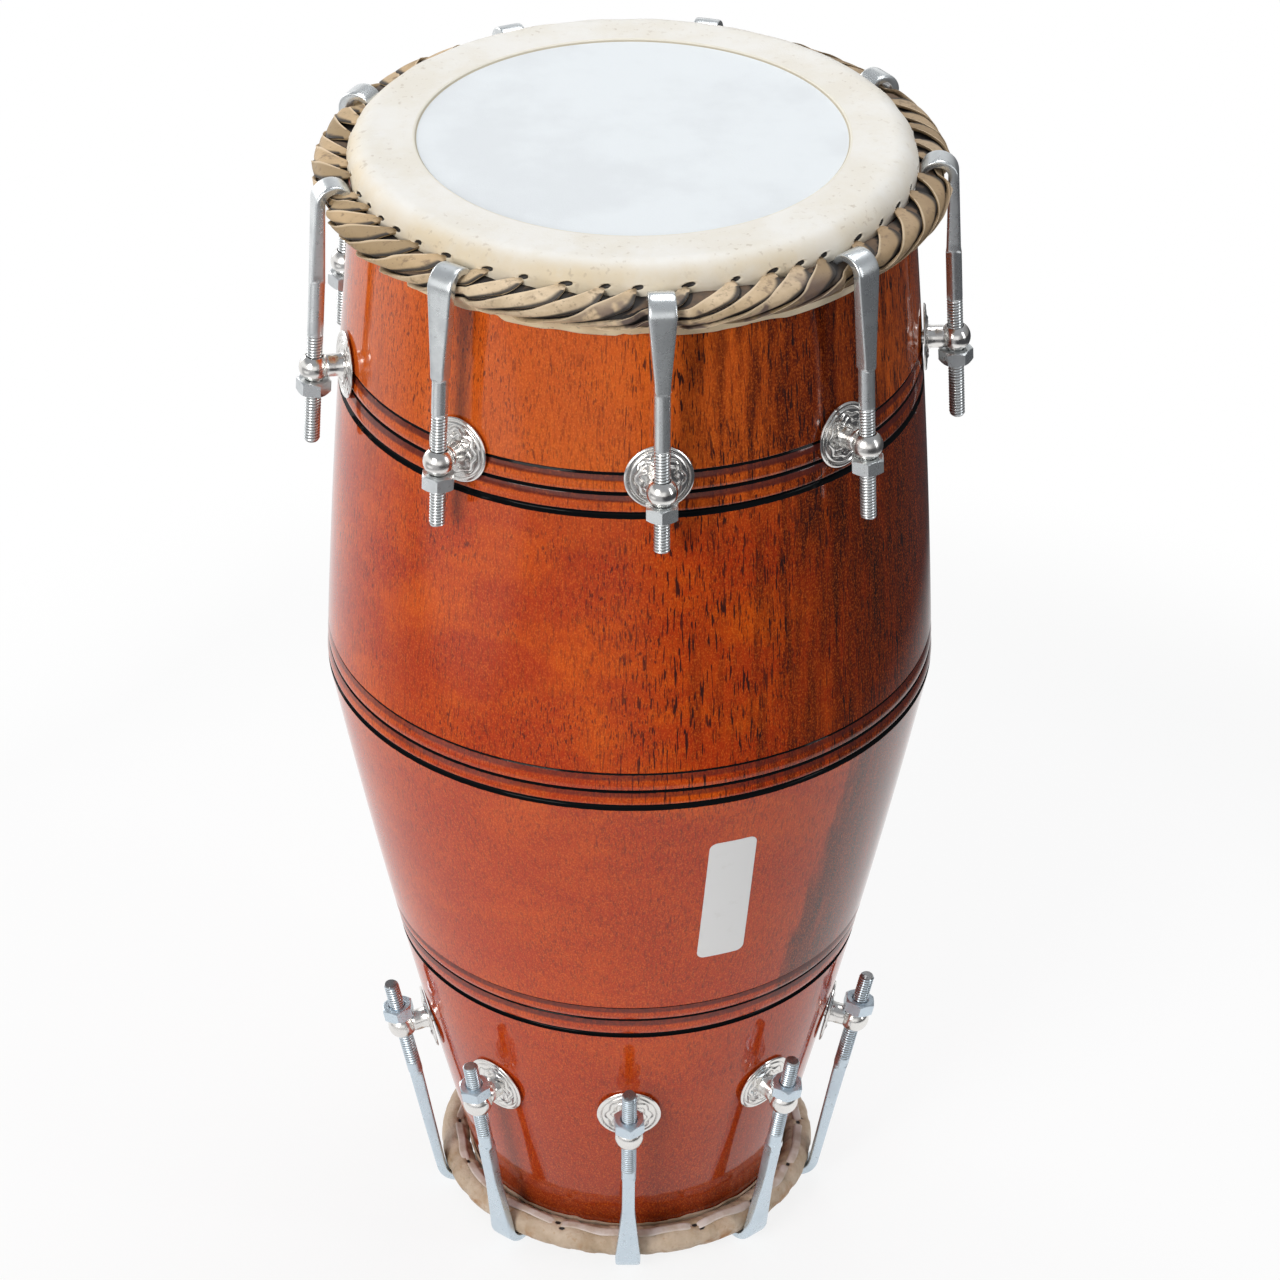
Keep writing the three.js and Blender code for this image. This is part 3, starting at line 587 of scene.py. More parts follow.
# Distances in metres from the axis between which the finish changes
ply_step_shadow_zone, ply_step_highlight_zone, rim_ply_face = (0.0833, 0.0836), (0.0839, 0.0841), (0.0846, 0.0852)
fleck_zone, worn_zone, roll_zone = (0.080, 0.096), (0.088, 0.106), (0.1030, 0.1095)
cloudy_skin, worn_skin = (21.0, 1.0, 4.0, 0.6, 3.0), (85.0, 1.0, 5.0, 0.7, 5.0)
front_left = (-4.0, -7.5, 0.0)  # the way in which the roll over the edge is yellowest
rng = np.random.default_rng(48)


def wrapped(angle):
    """Angles turned to lie between minus and plus half a circle."""
    return (angle + math.pi) % (2 * math.pi) - math.pi


def ripples(azimuths, counts, swing):
    """Waves round the drum, one for each count, of chance height and phase. swing: their spread."""
    return sum(
        rng.normal(0, swing(count)) * np.cos(count * azimuths + rng.uniform(0, 6.3))
        for count in counts
    )


def bell(value, middle, width):
    """1 where value is at the middle, falling to 0.37 at that width from it."""
    return np.exp(-(((value - middle) / width) ** 2))


def from_hook(azimuth):
    """Signed angle from the nearest bass hook."""
    apart = wrapped(np.asarray(azimuth)[..., None] - bass_azimuths)
    nearest = np.abs(apart).argmin(-1)[..., None]
    return np.take_along_axis(apart, nearest, -1)[..., 0]


def pushed_aside(azimuth):
    """Where a strap ends, pushed aside by a hook's tip: never nearer to it than hook_clearance."""
    angle = from_hook(azimuth)
    nearness = unit(1 - np.abs(angle) / hook_reach)
    return azimuth + np.where(angle < 0, -1, 1) * hook_clearance * nearness


behind = np.linspace(front_slits[-1], front_slits[0] + 360, strap_count - len(front_slits) + 2)
slit_azimuths = np.concatenate([np.radians(front_slits), pushed_aside(np.radians(behind[1:-1]))])


def slits(azimuth, height):
    """How far into a slit each place of the skin's side is, from 0 outside to 1 in its middle.

    A slit is pulled open by its strap into a low arch, flat below and round above, and leans with
    the strap. Under 0 it gives the distance from the slit's edge, as a share of its half width.
    """
    apart = wrapped(azimuth - slit_azimuths[:, None, None])
    up = (height - slit_height) / slit_half_height
    across = apart * bass_mouth_radius / (slit_half_width * slit_widths) - slit_lean * up
    inside = 1 - across**2 - np.where(up > 0, up, slit_flatness * up) ** 2
    return np.clip(inside.max(0) * slit_steepness, -1, 1)


membrane_top = drum_height - rim_ply
paste_top = membrane_top - skin_thickness
outer_round = bass_edge_round + skin_gap + skin_thickness + rim_ply
skirt_inner = float(side_radius(bass_skirt_end)) + skin_gap
bass_outside = np.concatenate([
    [(skirt_inner + 0.25, bass_skirt_end), (skirt_inner + skin_thickness, bass_skirt_end + 0.3)],
    [(bass_mouth_radius + 2.25, height) for height in np.arange(488.4, bass_mouth_height, 0.45)],
    arc(bass_edge, outer_round, 0, 30, 24),
    arc(bass_edge, outer_round, 32, 90, 20),
    np.stack([np.linspace(bass_rim_flat, bass_rim_inner + 1.2, 12), np.full(12, drum_height)], -1),
    arc((bass_rim_inner + 0.5, drum_height - 0.5), 0.5, 90, 180, 5),
    [(bass_rim_inner - 0.25, membrane_top + 0.08)],
    np.stack([np.linspace(82.5, 2.0, 22), np.full(22, membrane_top)], -1),
])
bass_inside = np.concatenate([
    [(2.0, paste_top - paste_thickness), (paste_radius, paste_top - paste_thickness)],
    [(paste_radius + paste_thickness, paste_top)],
    arc(bass_edge, bass_edge_round + skin_gap, 90, 0, 8),
    [(skirt_inner, bass_skirt_end)],
])
azimuths = turn_round(skin_columns)
outside_radius, outside_height = np.repeat(bass_outside.T[..., None], skin_columns, 2)
near_slit = np.where(outside_radius > slit_field, slits(azimuths, outside_height), -1.0)
opened = unit(near_slit)
lip = bell(near_slit, -0.35, 0.4) * (outside_height > slit_height) * (outside_radius > slit_field)
ripple = ripples(azimuths, range(3, 34), lambda count: 0.06)
side_share = unit((outside_radius - 96) / 10)
outside_radius = outside_radius - opened * slit_depth + lip_out * lip + ripple * side_share
outside_height = outside_height - slit_sag * opened + lip_up * lip
outside_grid = polar(outside_radius, azimuths, outside_height)


class Group(Nodes):
    """A node group that puts out shares for several materials, from a few numbers."""

    def __init__(self, name, given):
        super().__init__(bpy.data.node_groups.new(name, "ShaderNodeTree"))
        for key, value in given.items():
            self.new_socket(key, "INPUT").default_value = value
        self.given = self.tree.nodes.new("NodeGroupInput").outputs

    def new_socket(self, key, way):
        """A number that goes into or comes out of the group."""
        return self.tree.interface.new_socket(key, in_out=way, socket_type="NodeSocketFloat")

    def puts_out(self, **shares):
        """Joins the shares to the group's outputs. Returns the group's tree."""
        for key in shares:
            self.new_socket(key, "OUTPUT")
        ends = self.tree.nodes.new("NodeGroupOutput").inputs
        for key, share in shares.items():
            self.tree.links.new(share, ends[key])
        return self.tree


# Hides: broad mottling, fine flecks and the height of their grain
hides = Group("hide_surface", {"Mottle Scale": 30.0, "Fleck Scale": 420.0, "Grain Scale": 900.0})
cells = hides.add("TexVoronoi", {"Vector": hides.place(), "Scale": hides.given["Grain Scale"]})
fine_grain = hides.noise(hides.given["Grain Scale"], 1.0, 3.0, 0.6)
hide_surface = hides.puts_out(
    Mottle=hides.patches((hides.given["Mottle Scale"], 1.0, 5.0, 0.62), 0.36, 0.68),
    Flecks=hides.patches((hides.given["Fleck Scale"], 1.0, 2.0, 0.5), 0.60, 0.72),
    Grain=hides.mix(0.5, cells["Distance"], fine_grain),
)


class Surfaced(Finish):
    """A finish with one of the node groups in it, whose outputs are its marks."""

    def __init__(self, name, ground, group, *values):
        super().__init__(name, ground)
        self.marks = self.add("Group", dict(enumerate(values)), node_tree=group)


skin = Surfaced("goat_skin", membrane_white, hide_surface, 30.0, 380.0, 1300.0)
level = skin.add("VectorMath", {0: skin.place(), 1: (1.0, 1.0, 0.0)}, operation="MULTIPLY")[0]
from_axis = skin.vector("LENGTH", level)
skin.tint(skin.patches(cloudy_skin, 0.40, 0.66), membrane_grey)
rim_colour = skin.mix(skin.times(skin.marks["Mottle"], 0.75), rim_cream, rim_beige)
# Painted shade and highlight at the rim ply's inner step: a thin brown shadow line, then a pale
# highlight line.
skin.tint(skin.share(from_axis, *ply_step_shadow_zone), ply_step_shadow_brown)
skin.tint(skin.share(from_axis, *ply_step_highlight_zone), ply_step_highlight_pale)
skin.tint(skin.share(from_axis, *rim_ply_face), rim_colour)
# The roll over the edge is yellower towards the front left, and whiter on the drum's right.
towards_front_left = skin.share(skin.vector("DOT_PRODUCT", skin.place(), front_left), -0.15, 0.80)
shoulder = skin.times(skin.share(from_axis, *roll_zone), skin.spread(towards_front_left, 0.30, 1.0))
skin.tint(shoulder, shoulder_cream, skin.spread(skin.marks["Mottle"], 0.55, 1.0))
worn = skin.patches(worn_skin, 0.50, 0.72)
skin.tint(worn, rim_beige, skin.share(from_axis, *worn_zone), 0.45)
flecks = skin.times(skin.marks["Flecks"], skin.share(from_axis, *fleck_zone))
skin.tint(flecks, hair_brown, skin.marks["Mottle"], 0.40)
# Painted shade: the slits' openings are painted black, for the dark inside them.
skin.tint(skin.share(skin.painted("slit"), 0.22, 0.50), hole_shadow_black)
goat_skin = skin.shade(Roughness=0.55, Normal=skin.bump(skin.marks["Grain"], 0.22, 0.0003))


def closed_lathe_skin(outside, inside):
    """One closed skin from a fine outer grid and a coarser inner grid, joined at both ends.

    Both run along the profile in one direction, the inner one on from the outer one's end. Their
    inner ends are closed to middle points, and their rims by three-sided faces, several of the
    fine grid's columns to each of the coarse one's.
    """
    outer_places, faces = surface(outside)
    inner_places, inner_faces = surface(inside)
    shift, middle = len(outer_places), len(outer_places) + len(inner_places)
    fine, coarse = outside.shape[1], inside.shape[1]
    each = fine // coarse
    outer_end, inner_end = shift - fine, middle - coarse
    faces += [[corner + shift for corner in face] for face in inner_faces]
    for side in range(fine):
        faces.append([middle, outer_end + side, outer_end + (side + 1) % fine])
    for side in range(coarse):
        faces.append([middle + 1, shift + (side + 1) % coarse, shift + side])
    for side in range(coarse):
        here = inner_end + side
        steps = range(side * each, (side + 1) * each)
        faces += [[here, (step + 1) % fine, step] for step in steps]
        faces.append([here, inner_end + (side + 1) % coarse, (side + 1) * each % fine])
    places = [outer_places, inner_places, outside[-1:].mean(1), inside[:1].mean(1)]
    return np.concatenate(places), faces


bass_skin_part = closed_lathe_skin(outside_grid, lathe(bass_inside, inside_columns))
# Per-point share of the painted shade in the slits.
slit_shadow_paint = np.zeros(len(bass_skin_part[0]))
slit_shadow_paint[: opened.size] = opened.ravel()
add_piece(
    "bass_skin", [bass_skin_part], goat_skin, ["bass_head_skin"],
    {"slit": slit_shadow_paint}, 60.0,
)


# Braid of the bass head
# Flat leather straps that climb round an iron hoop, each from under the hoop to its slit in the
# head. Between them older dark leather shows, with painted shade in its gaps. A cream collar lies
# under the braid on the wood, painted paler on the right to stand in for light.
# Corners of a strap's run: share of the run, place out from the hoop and up from it. The held
# places are those under a hook, where the braid is squeezed.
strap_run = np.array([0.0, 0.10, 0.22, 0.42, 0.66, 0.84, 0.93, 1.0])
strap_free = np.array([
    (-4.6, -8.2), (-1.2, -7.5), (2.5, -5.5), (5.2, -2.4),
    (4.9, 1.2), (1.2, 3.6), (-3.2, 4.5), (-8.4, 4.7),
])
strap_held = np.array([
    (-4.6, -8.2), (-1.8, -7.5), (0.8, -5.5), (2.1, -2.5),
    (2.1, 0.9), (0.0, 2.5), (-3.2, 3.6), (-8.4, 4.7),
])
strap_share = np.array([1.0, 1.0, 0.96, 0.78, 0.72, 0.76, 0.50, 0.20])  # of the pitch
strap_end_shift = 1.1 / 108.0  # each strap ends a little to the left of its slit's middle
strap_climb = 3 * strap_pitch
strap_thickness = 1.4
strap_rows, strap_side_points = 40, 9
crown_height, curl_height, curl_from, twist_height = 0.30, 0.28, 0.72, 0.5
edge_power, held_flatter = 9, 0.45  # held_flatter: how much lower a strap's forms are under a hook
hook_half_angle, release_half_angle = math.radians(2.9), math.radians(5.4)
strap_tan = (0.58, 0.405, 0.225)
strap_pale = (0.80, 0.63, 0.43)
strap_olive = (0.36, 0.250, 0.130)
strap_brown = (0.17, 0.105, 0.062)
strap_purple = (0.085, 0.055, 0.060)
core_brown = (0.085, 0.062, 0.046)
braid_shadow_black = (0.014, 0.011, 0.010)
strap_dye, strap_spots = (34.0, 1.0, 4.0, 0.65, 7.0), (190.0, 1.0, 3.0, 0.6, 2.0)
front_right = (2.1, -7.7, 0.0)  # the way in which the dyed straps lie
dyed_start, dyed_end = 0.86, 0.94  # how far that way, as a share of the braid's reach


def smooth_run(run, values, at):
    """Values along a run through the given corners, by cubic pieces with even slopes."""
    slopes = np.gradient(values, run, axis=0)
    piece = np.clip(np.searchsorted(run, at, side="right") - 1, 0, len(run) - 2)
    step = run[piece + 1] - run[piece]
    share = (at - run[piece]) / step
    if values.ndim > 1:
        share, step = share[..., None], step[..., None]
    start = (1 + 2 * share) * (1 - share) ** 2 * values[piece]
    start_slope = share * (1 - share) ** 2 * step * slopes[piece]
    end = share**2 * (3 - 2 * share) * values[piece + 1]
    end_slope = share**2 * (share - 1) * step * slopes[piece + 1]
    return start + start_slope + end + end_slope


def round_hoop(run, azimuth, lift, free, held):
    """Places on the braid: out and up from the hoop along the run, lifted square to its surface.

    They go from the free corners to the held ones near a hook, where the lift is smaller too.
    """
    near = 1e-3
    ahead = smooth_run(strap_run, free, unit(run + near))
    along = ahead - smooth_run(strap_run, free, unit(run - near))
    along = along / np.linalg.norm(along, axis=-1, keepdims=True)
    hold = ease(np.abs(from_hook(azimuth)), release_half_angle, hook_half_angle)[..., None]
    at = smooth_run(strap_run, free, run) * (1 - hold) + smooth_run(strap_run, held, run) * hold
    square = np.stack([along[..., 1], -along[..., 0]], -1)
    at = at + square * (lift * (1 - held_flatter * hold[..., 0]))[..., None]
    return polar(hoop_radius + at[..., 0], azimuth, hoop_height + at[..., 1])


def strap_middles(run):
    """Azimuths of every strap's middle along the run, and the straps' pitch.

    A strap starts evenly spaced from its neighbours, climbs round the hoop and ends at its slit.
    """
    number = np.arange(strap_count)
    even = number * strap_pitch
    drift = slit_azimuths - slit_azimuths[0] - even
    drift = np.mean([np.roll(drift, shift) for shift in range(-3, 4)], 0)
    even = slit_azimuths[0] + even + drift
    ahead = np.roll(even, -1) + (number == strap_count - 1) * 2 * math.pi
    behind = np.roll(even, 1) - (number == 0) * 2 * math.pi
    late = ease(run, 0.40, 0.96)
    ends = slit_azimuths[:, None, None] - strap_end_shift
    centre = even[:, None, None] * (1 - late) + ends * late
    return centre - strap_climb * (1 - run), ((ahead - behind) / 2)[:, None, None]


def strap_places():
    """All straps at once, as (straps, rows, ring points, 3).

    Across a strap the azimuth grows from its upper left edge to its lower right edge. The upper
    left edge stands proud of the strap before it, as on shingles, and its very edge curls up. The
    middle is crowned, and slow and quick waves along the run twist, crease and narrow the strap.
    """
    run = np.linspace(0, 1, strap_rows)[None, :, None]
    side = np.linspace(-1, 1, strap_side_points)
    across = np.concatenate([side, side[::-1]])[None, None, :]
    is_top = np.repeat([1.0, 0.0], strap_side_points)[None, None, :]
    tone = rng.uniform(0, 1, strap_count)
    width = rng.normal(1.0, 0.08, strap_count)[:, None, None]
    from_front = np.abs(wrapped(slit_azimuths))[:, None, None]
    width = width * (1 + 0.20 * ease(np.degrees(from_front), 20, 55))
    tilt = rng.normal(0.70, 0.20, strap_count)[:, None, None]
    base_lift = rng.normal(0.0, 0.14, strap_count)[:, None, None]
    phase = rng.uniform(0, 6.3, (strap_count, 6))[:, :, None, None]
    centre, pitch = strap_middles(run)
    share = smooth_run(strap_run, strap_share, run) * width
    wave = 0.05 * np.sin(9 * run + phase[:, 0]) + 0.04 * np.sin(17 * run + phase[:, 1])
    azimuth = centre + across * (share + wave) * pitch / 2
    crown = crown_height * (1 - across**2)
    curl = curl_height * unit((-across - curl_from) / (1 - curl_from)) ** 1.5
    twist = twist_height * np.sin(3.1 * run + phase[:, 2]) * across * (1 - run)
    crease = 0.10 * np.sin(23 * run + 2.5 * across + phase[:, 3])
    crease = crease + 0.07 * np.sin(41 * run - 3.5 * across + phase[:, 4])
    lift = -tilt * across * unit(1.15 - run) + crown + curl + base_lift + twist
    lift = lift + crease * unit(1.05 - run)
    edge = unit(1 - np.abs(across) ** edge_power)
    lift = lift - strap_thickness * (1 - is_top) * (0.5 + 0.5 * edge)
    run = np.broadcast_to(run, azimuth.shape)
    places = round_hoop(run, azimuth, lift, strap_free, strap_held)
    return places, tone, across * is_top * (run < 0.97)


def strap_paint(values):
    """Per-point paint for the straps: the grids' own values, and the average at closed ends."""
    values = np.broadcast_to(values, straps.shape[:3])
    ends = values[:, [0, -1]].mean(2)
    return np.concatenate([values.reshape(strap_count, -1), ends], 1)


straps, strap_tone, strap_across = strap_places()
# The front straps are the palest and those on the right the brownest.
slit_degrees = np.degrees(wrapped(slit_azimuths))
strap_tone = 0.55 * strap_tone + 0.45 * ease(np.abs(slit_degrees), 42, 18)
strap_right_brown = ease(slit_degrees, 22, 44) * ease(slit_degrees, 178, 150)
leather = Surfaced("strap_leather", strap_tan, hide_surface, 75.0, 620.0, 1700.0)
tone, edge = leather.painted("tone"), leather.painted("edge")
leather.tint(leather.share(tone, 0.25, 0.80), strap_pale)
leather.tint(leather.share(tone, 0.30, 0.02), strap_olive)
leather.tint(leather.marks["Mottle"], strap_olive, 0.50)
towards_right = leather.vector("DOT_PRODUCT", leather.place(), front_right)
dyed = leather.share(towards_right, dyed_start, dyed_end)
leather.tint(dyed, strap_purple, leather.patches(strap_dye, 0.50, 0.56), 0.85)
leather.tint(leather.patches(strap_spots, 0.56, 0.70), strap_brown, 0.60)
leather.tint(leather.marks["Flecks"], strap_brown, 0.40)
leather.tint(leather.painted("right_brown"), strap_brown, 0.34)
# Painted highlight and shade along the straps' edges. The upper left edge is paler, partly the
# leather's cut edge and partly a painted highlight. The lower right edge is painted black as the
# shadow where the straps overlap.
leather.tint(leather.share(edge, 0.70, 0.95), strap_pale, 0.8)
leather.tint(leather.share(edge, -0.46, -0.84), braid_shadow_black, 0.95)
strap_leather = leather.shade(
    Roughness=0.60, Normal=leather.bump(leather.marks["Grain"], 0.35, 0.0003)
)
strap_paints = {
    "tone": strap_paint(strap_tone[:, None, None]),
    "right_brown": strap_paint(strap_right_brown[:, None, None]),
    "edge": strap_paint(-strap_across),
}
add_piece(
    "braid_straps", [surface(one, capped=True) for one in straps], strap_leather,
    ["bass_braid"], strap_paints, 55.0,
)

# The dark leather inside the braid, laid the same way round the hoop but flatter, with deep gaps
# Its creases, the places beside the straps' edges and its back are painted black as shade.
core_free = np.array([
    (-6.9, -8.0), (-2.4, -7.1), (1.3, -5.1), (3.6, -2.5),
    (3.3, 0.4), (0.5, 2.2), (-3.2, 2.9), (-7.3, 2.6),
])
core_held = np.array([
    (-6.9, -8.0), (-2.9, -7.1), (-0.2, -5.1), (0.9, -2.5),
    (1.0, 0.3), (-0.5, 1.5), (-3.2, 2.2), (-7.3, 2.4),
])
core_back_radius, core_back_top, core_back_foot = 110.9, 486.0, 477.2
core_columns, core_rows = 768, 22
azimuths, run = np.broadcast_arrays(
    turn_round(core_columns), np.linspace(0, 1, core_rows)[:, None]
)
core_turn = strap_count * (azimuths - 1.9 * strap_pitch * run) / 2
core_turn = core_turn + 0.5 * np.sin(5 * azimuths) + 0.35 * np.sin(13 * azimuths + 1.0)
ridge = np.abs(np.cos(core_turn)) ** 0.6
core_grid = round_hoop(run, azimuths, 0.9 * ridge - 0.7, core_free, core_held)
middles, pitches = strap_middles(run[None, :, :1])
beside = np.abs(wrapped(azimuths[None] - middles)) / pitches
from_edge = beside.min(0) - smooth_run(strap_run, strap_share, run) / 2
core_shade = np.maximum(1 - ridge, 1.1 - np.clip(from_edge, 0, None) / 0.10)
core_back_heights = np.array([[core_back_top], [core_back_foot]])
core_back = polar(core_back_radius, azimuths[:2], core_back_heights)
core = Surfaced("core_leather", core_brown, hide_surface, 110.0, 700.0, 1500.0)
core.tint(core.marks["Mottle"], strap_brown)
# Painted shade: black in the core's creases, beside the straps' edges and over its back.
core.tint(core.share(core.painted("crease"), 0.16, 0.50), braid_shadow_black)
core_paint = {"crease": np.concatenate([core_shade, np.ones_like(ridge[:2])])}
add_piece(
    "braid_core", [surface(np.concatenate([core_grid, core_back]), tube=True)],
    core.shade(Roughness=0.75), (), core_paint, 70.0,
)

# The collar's lower edge is cut by hand, so it wanders a little and shows the leather's thickness.
collar_profile = np.array([
    (-7.1, -13.0), (-6.4, -13.4), (-5.7, -13.1), (-5.3, -12.2), (-4.4, -10.6),
    (-3.1, -9.0), (-1.9, -7.6), (-4.2, -7.4), (-6.6, -9.0), (-7.2, -11.0),
])
collar_columns, collar_gap = 480, 0.35
collar_cream = (0.84, 0.68, 0.44)
collar_lit_pale = (0.92, 0.80, 0.59)
painted_light_right = (0.02, 0.07)  # along X, between which the collar turns paler
azimuths = turn_round(collar_columns)
wander = ripples(azimuths, range(2, 34), lambda count: 0.15)
notches = sum(np.cos(count * azimuths + rng.uniform(0, 6.3)) for count in (31, 43, 57))
nick = unit(notches - 1.9)
low_share = unit((-10.6 - collar_profile[:, 1:]) / 2.4)
flutter = 0.35 * np.cos(strap_count * azimuths) * unit(1 - low_share)
collar_level = low_share * (0.2 + np.clip(wander, -0.3, 1.0) + 0.8 * nick)
lower_right = unit(np.cos(azimuths - math.radians(48))) ** 2
collar_level = collar_level - 0.9 * low_share * lower_right
collar_level = hoop_height + collar_profile[:, 1:] + collar_level
collar_radius = hoop_radius + collar_profile[:, :1] + flutter
collar_radius = np.maximum(collar_radius, side_radius(collar_level) + collar_gap)
collar = Surfaced("collar_leather", collar_cream, hide_surface, 48.0, 480.0, 1300.0)
collar.tint(collar.marks["Mottle"], strap_tan, 0.5)
collar.tint(collar.marks["Flecks"], strap_brown, 0.4)
# Painted light: the collar is painted paler on its right, where it lies in shade.
collar.tint(collar.share(collar.place("X"), *painted_light_right), collar_lit_pale, 0.7)
collar_leather = collar.shade(
    Roughness=0.6, Normal=collar.bump(collar.marks["Grain"], 0.3, 0.0003)
)
add_piece(
    "braid_collar", [surface(polar(collar_radius, azimuths, collar_level), tube=True)],
    collar_leather, sharp=60.0,
)


# Treble head
# The same two plies on the small mouth, underneath, with the black tuning patch in the middle.
# The skin is turned up between the wood and the ring, and its edge above the ring is torn.
treble_rim_inner = 50.0
treble_skirt_top = 16.4
treble_columns = 480
patch_radius, patch_face, patch_columns = 37.0, 0.3, 120
patch_black = (0.012, 0.011, 0.011)
patch_grey = (0.050, 0.048, 0.046)
ring_tan = (0.43, 0.305, 0.190)
ring_pale = (0.64, 0.51, 0.385)
ring_stain = (0.38, 0.165, 0.040)
ring_grime_and_shade = (0.22, 0.170, 0.12)
rusty_below = (0.016, 0.009)  # heights between which the rust stains grow
rust, grime = (42.0, 1.0, 4.0, 0.65, 3.0), (64.0, 1.0, 5.0, 0.7, 9.0)
wrinkles, paste_grain = (230.0, 1.0, 4.0, 0.6, 6.0), (240.0, 1.0, 3.0)
inner_round = treble_edge_round + skin_gap
skirt_levels = np.linspace(11.0, treble_skirt_top, 12)
treble_profile = np.concatenate([
    np.stack([np.linspace(2.0, 48.5, 12), np.full(12, rim_ply)], -1),
    arc((treble_rim_inner + 0.5, 0.5), 0.5, 180, 270, 4),
    [(55.0, 0.0)],
    arc(treble_edge, inner_round + skin_thickness + rim_ply, -90, -28, 10),
    np.stack([side_radius(skirt_levels) + 1.25, skirt_levels], -1),
    np.stack([side_radius(skirt_levels) + skin_gap, skirt_levels], -1)[::-1],
    arc(treble_edge, inner_round, 0, -90, 8),
    [(2.0, rim_ply + skin_thickness)],
])
azimuths = turn_round(treble_columns)
torn = ripples(azimuths, range(3, 90), lambda count: 1.9 / (count + 9))
upper_share = unit((treble_profile[:, 1:] - 13.0) / 4.6)
treble_level = treble_profile[:, 1:] + upper_share * (-0.4 + np.clip(torn, -1.5, 1.3))
treble_grid = polar(treble_profile[:, :1], azimuths, treble_level)


def ring_hide(name):
    """The treble head's hide, and its bump: stained with rust outside, grimy and wrinkled."""
    hide = Surfaced(name, ring_pale, hide_surface, 55.0, 430.0, 1200.0)
    hide.tint(hide.marks["Mottle"], ring_tan)
    outside = hide.spread(hide.share(hide.place("Z"), *rusty_below), 0.25, 0.9)
    hide.tint(hide.patches(rust, 0.54, 0.66), ring_stain, outside)
    hide.tint(hide.patches(grime, 0.54, 0.72), ring_grime_and_shade, 0.55)
    hide.tint(hide.marks["Flecks"], ring_stain, 0.3)
    folds = hide.bump(hide.noise(*wrinkles), 0.55, 0.0015)
    return hide, hide.bump(hide.marks["Grain"], 0.35, 0.0004, folds)


hide, bump = ring_hide("ring_hide")
add_piece(
    "treble_skin", [surface(treble_grid, capped=True)], hide.shade(Roughness=0.58, Normal=bump),
    ["treble_head_skin"], sharp=60.0,
)

# The patch is black paste rubbed on in many thin coats, and crazed as it dried.
patch_profile = np.array([
    (2.0, patch_face), (12.0, patch_face), (24.0, patch_face + 0.05), (33.0, patch_face + 0.2),
    (36.3, patch_face + 0.38), (patch_radius, patch_face + 0.55), (patch_radius, rim_ply),
    (2.0, rim_ply),
])
paste = Finish("black_paste", patch_black)
cells = {"Vector": paste.place(), "Scale": 620.0}
crazing = paste.add("TexVoronoi", cells, feature="DISTANCE_TO_EDGE")["Distance"]
paste.tint(paste.noise(*paste_grain), patch_grey)
plates = paste.bump(paste.share(crazing, 0.02, 0.10), 0.6, 0.0003)
add_piece(
    "tuning_patch", [surface(lathe(patch_profile, patch_columns), capped=True)],
    paste.shade(Roughness=0.62, Normal=plates), ["treble_tuning_patch"],
)


# Treble ring
# An iron ring with the skin wrapped tight round it and laced to itself with a folded thong that
# runs along the ring's upper inner side, in and out of small holes.
ring_radius, ring_height, ring_half = 74.788, 12.0, 6.3
ring_columns, ring_rows = 480, 44
seam_depth, hole_depth, gather_depth, pucker_depth = 0.25, 0.9, 0.35, 0.38
seam_width, hole_width = 1.9, 1.0
lace_count, lace_rows, lace_corners = 16, 30, 14
lace_half_width, lace_thickness = 1.85, 1.0
lace_white = (0.72, 0.63, 0.58)


def lace_angle(azimuth):
    """Where the lace lies round the ring's section, from straight out. It wanders on the top."""
    return np.radians(96 - 24 * np.cos(azimuth - math.radians(25)))


def about_ring(section, azimuth, reach):
    """Places round the ring's section: its angle from straight out, and its reach outwards."""
    return polar(
        ring_radius + reach * np.cos(section), azimuth, ring_height + reach * np.sin(section)
    )


azimuths = turn_round(ring_columns)
section = turn_round(ring_rows).T
pucker = sum(
    rng.normal(0, 0.075) * np.cos(count * azimuths + turns * section + rng.uniform(0, 6.3))
    for count in range(5, 60, 3)
    for turns in (0, 1, 2)
)
lace_phase = azimuths * lace_count
from_lace = wrapped(section - lace_angle(azimuths)) * ring_half
seam = bell(from_lace, 0, seam_width)
hole = bell(from_lace, 0, hole_width) * unit(np.cos(lace_phase) * 14 - 13)
second_hole = unit(np.cos(lace_phase - 0.55) * 14 - 13) * (np.cos(3 * azimuths) > 0.1)
hole = np.maximum(hole, second_hole * bell(from_lace, -2.4, 0.9))
# Short folds run across the inner side of the ring, where the skin is gathered.
gathers = np.abs(np.cos(37 * azimuths + 1.4 * np.sin(7 * azimuths) + 0.8 * section)) ** 8
gathers = gathers * unit(np.cos(section - math.radians(150)))
outward = np.clip(pucker, -pucker_depth, 0.0) - seam_depth * seam
outward = outward - hole_depth * hole - gather_depth * gathers
hide, bump = ring_hide("wrapped_hide")
# Painted shade in the gathered folds on the ring's inner side.
hide.tint(hide.painted("fold_shade"), ring_grime_and_shade, 0.55)
# Painted shade: the lace holes are painted black, for the dark inside them.
hide.tint(hide.share(hide.painted("hole"), 0.25, 0.6), hole_shadow_black)
add_piece(
    "wrapped_ring", [surface(about_ring(section, azimuths, ring_half + outward), tube=True)],
    hide.shade(Roughness=0.58, Normal=bump), ["treble_ring"],
    {"hole": hole, "fold_shade": gathers}, 70.0,
)

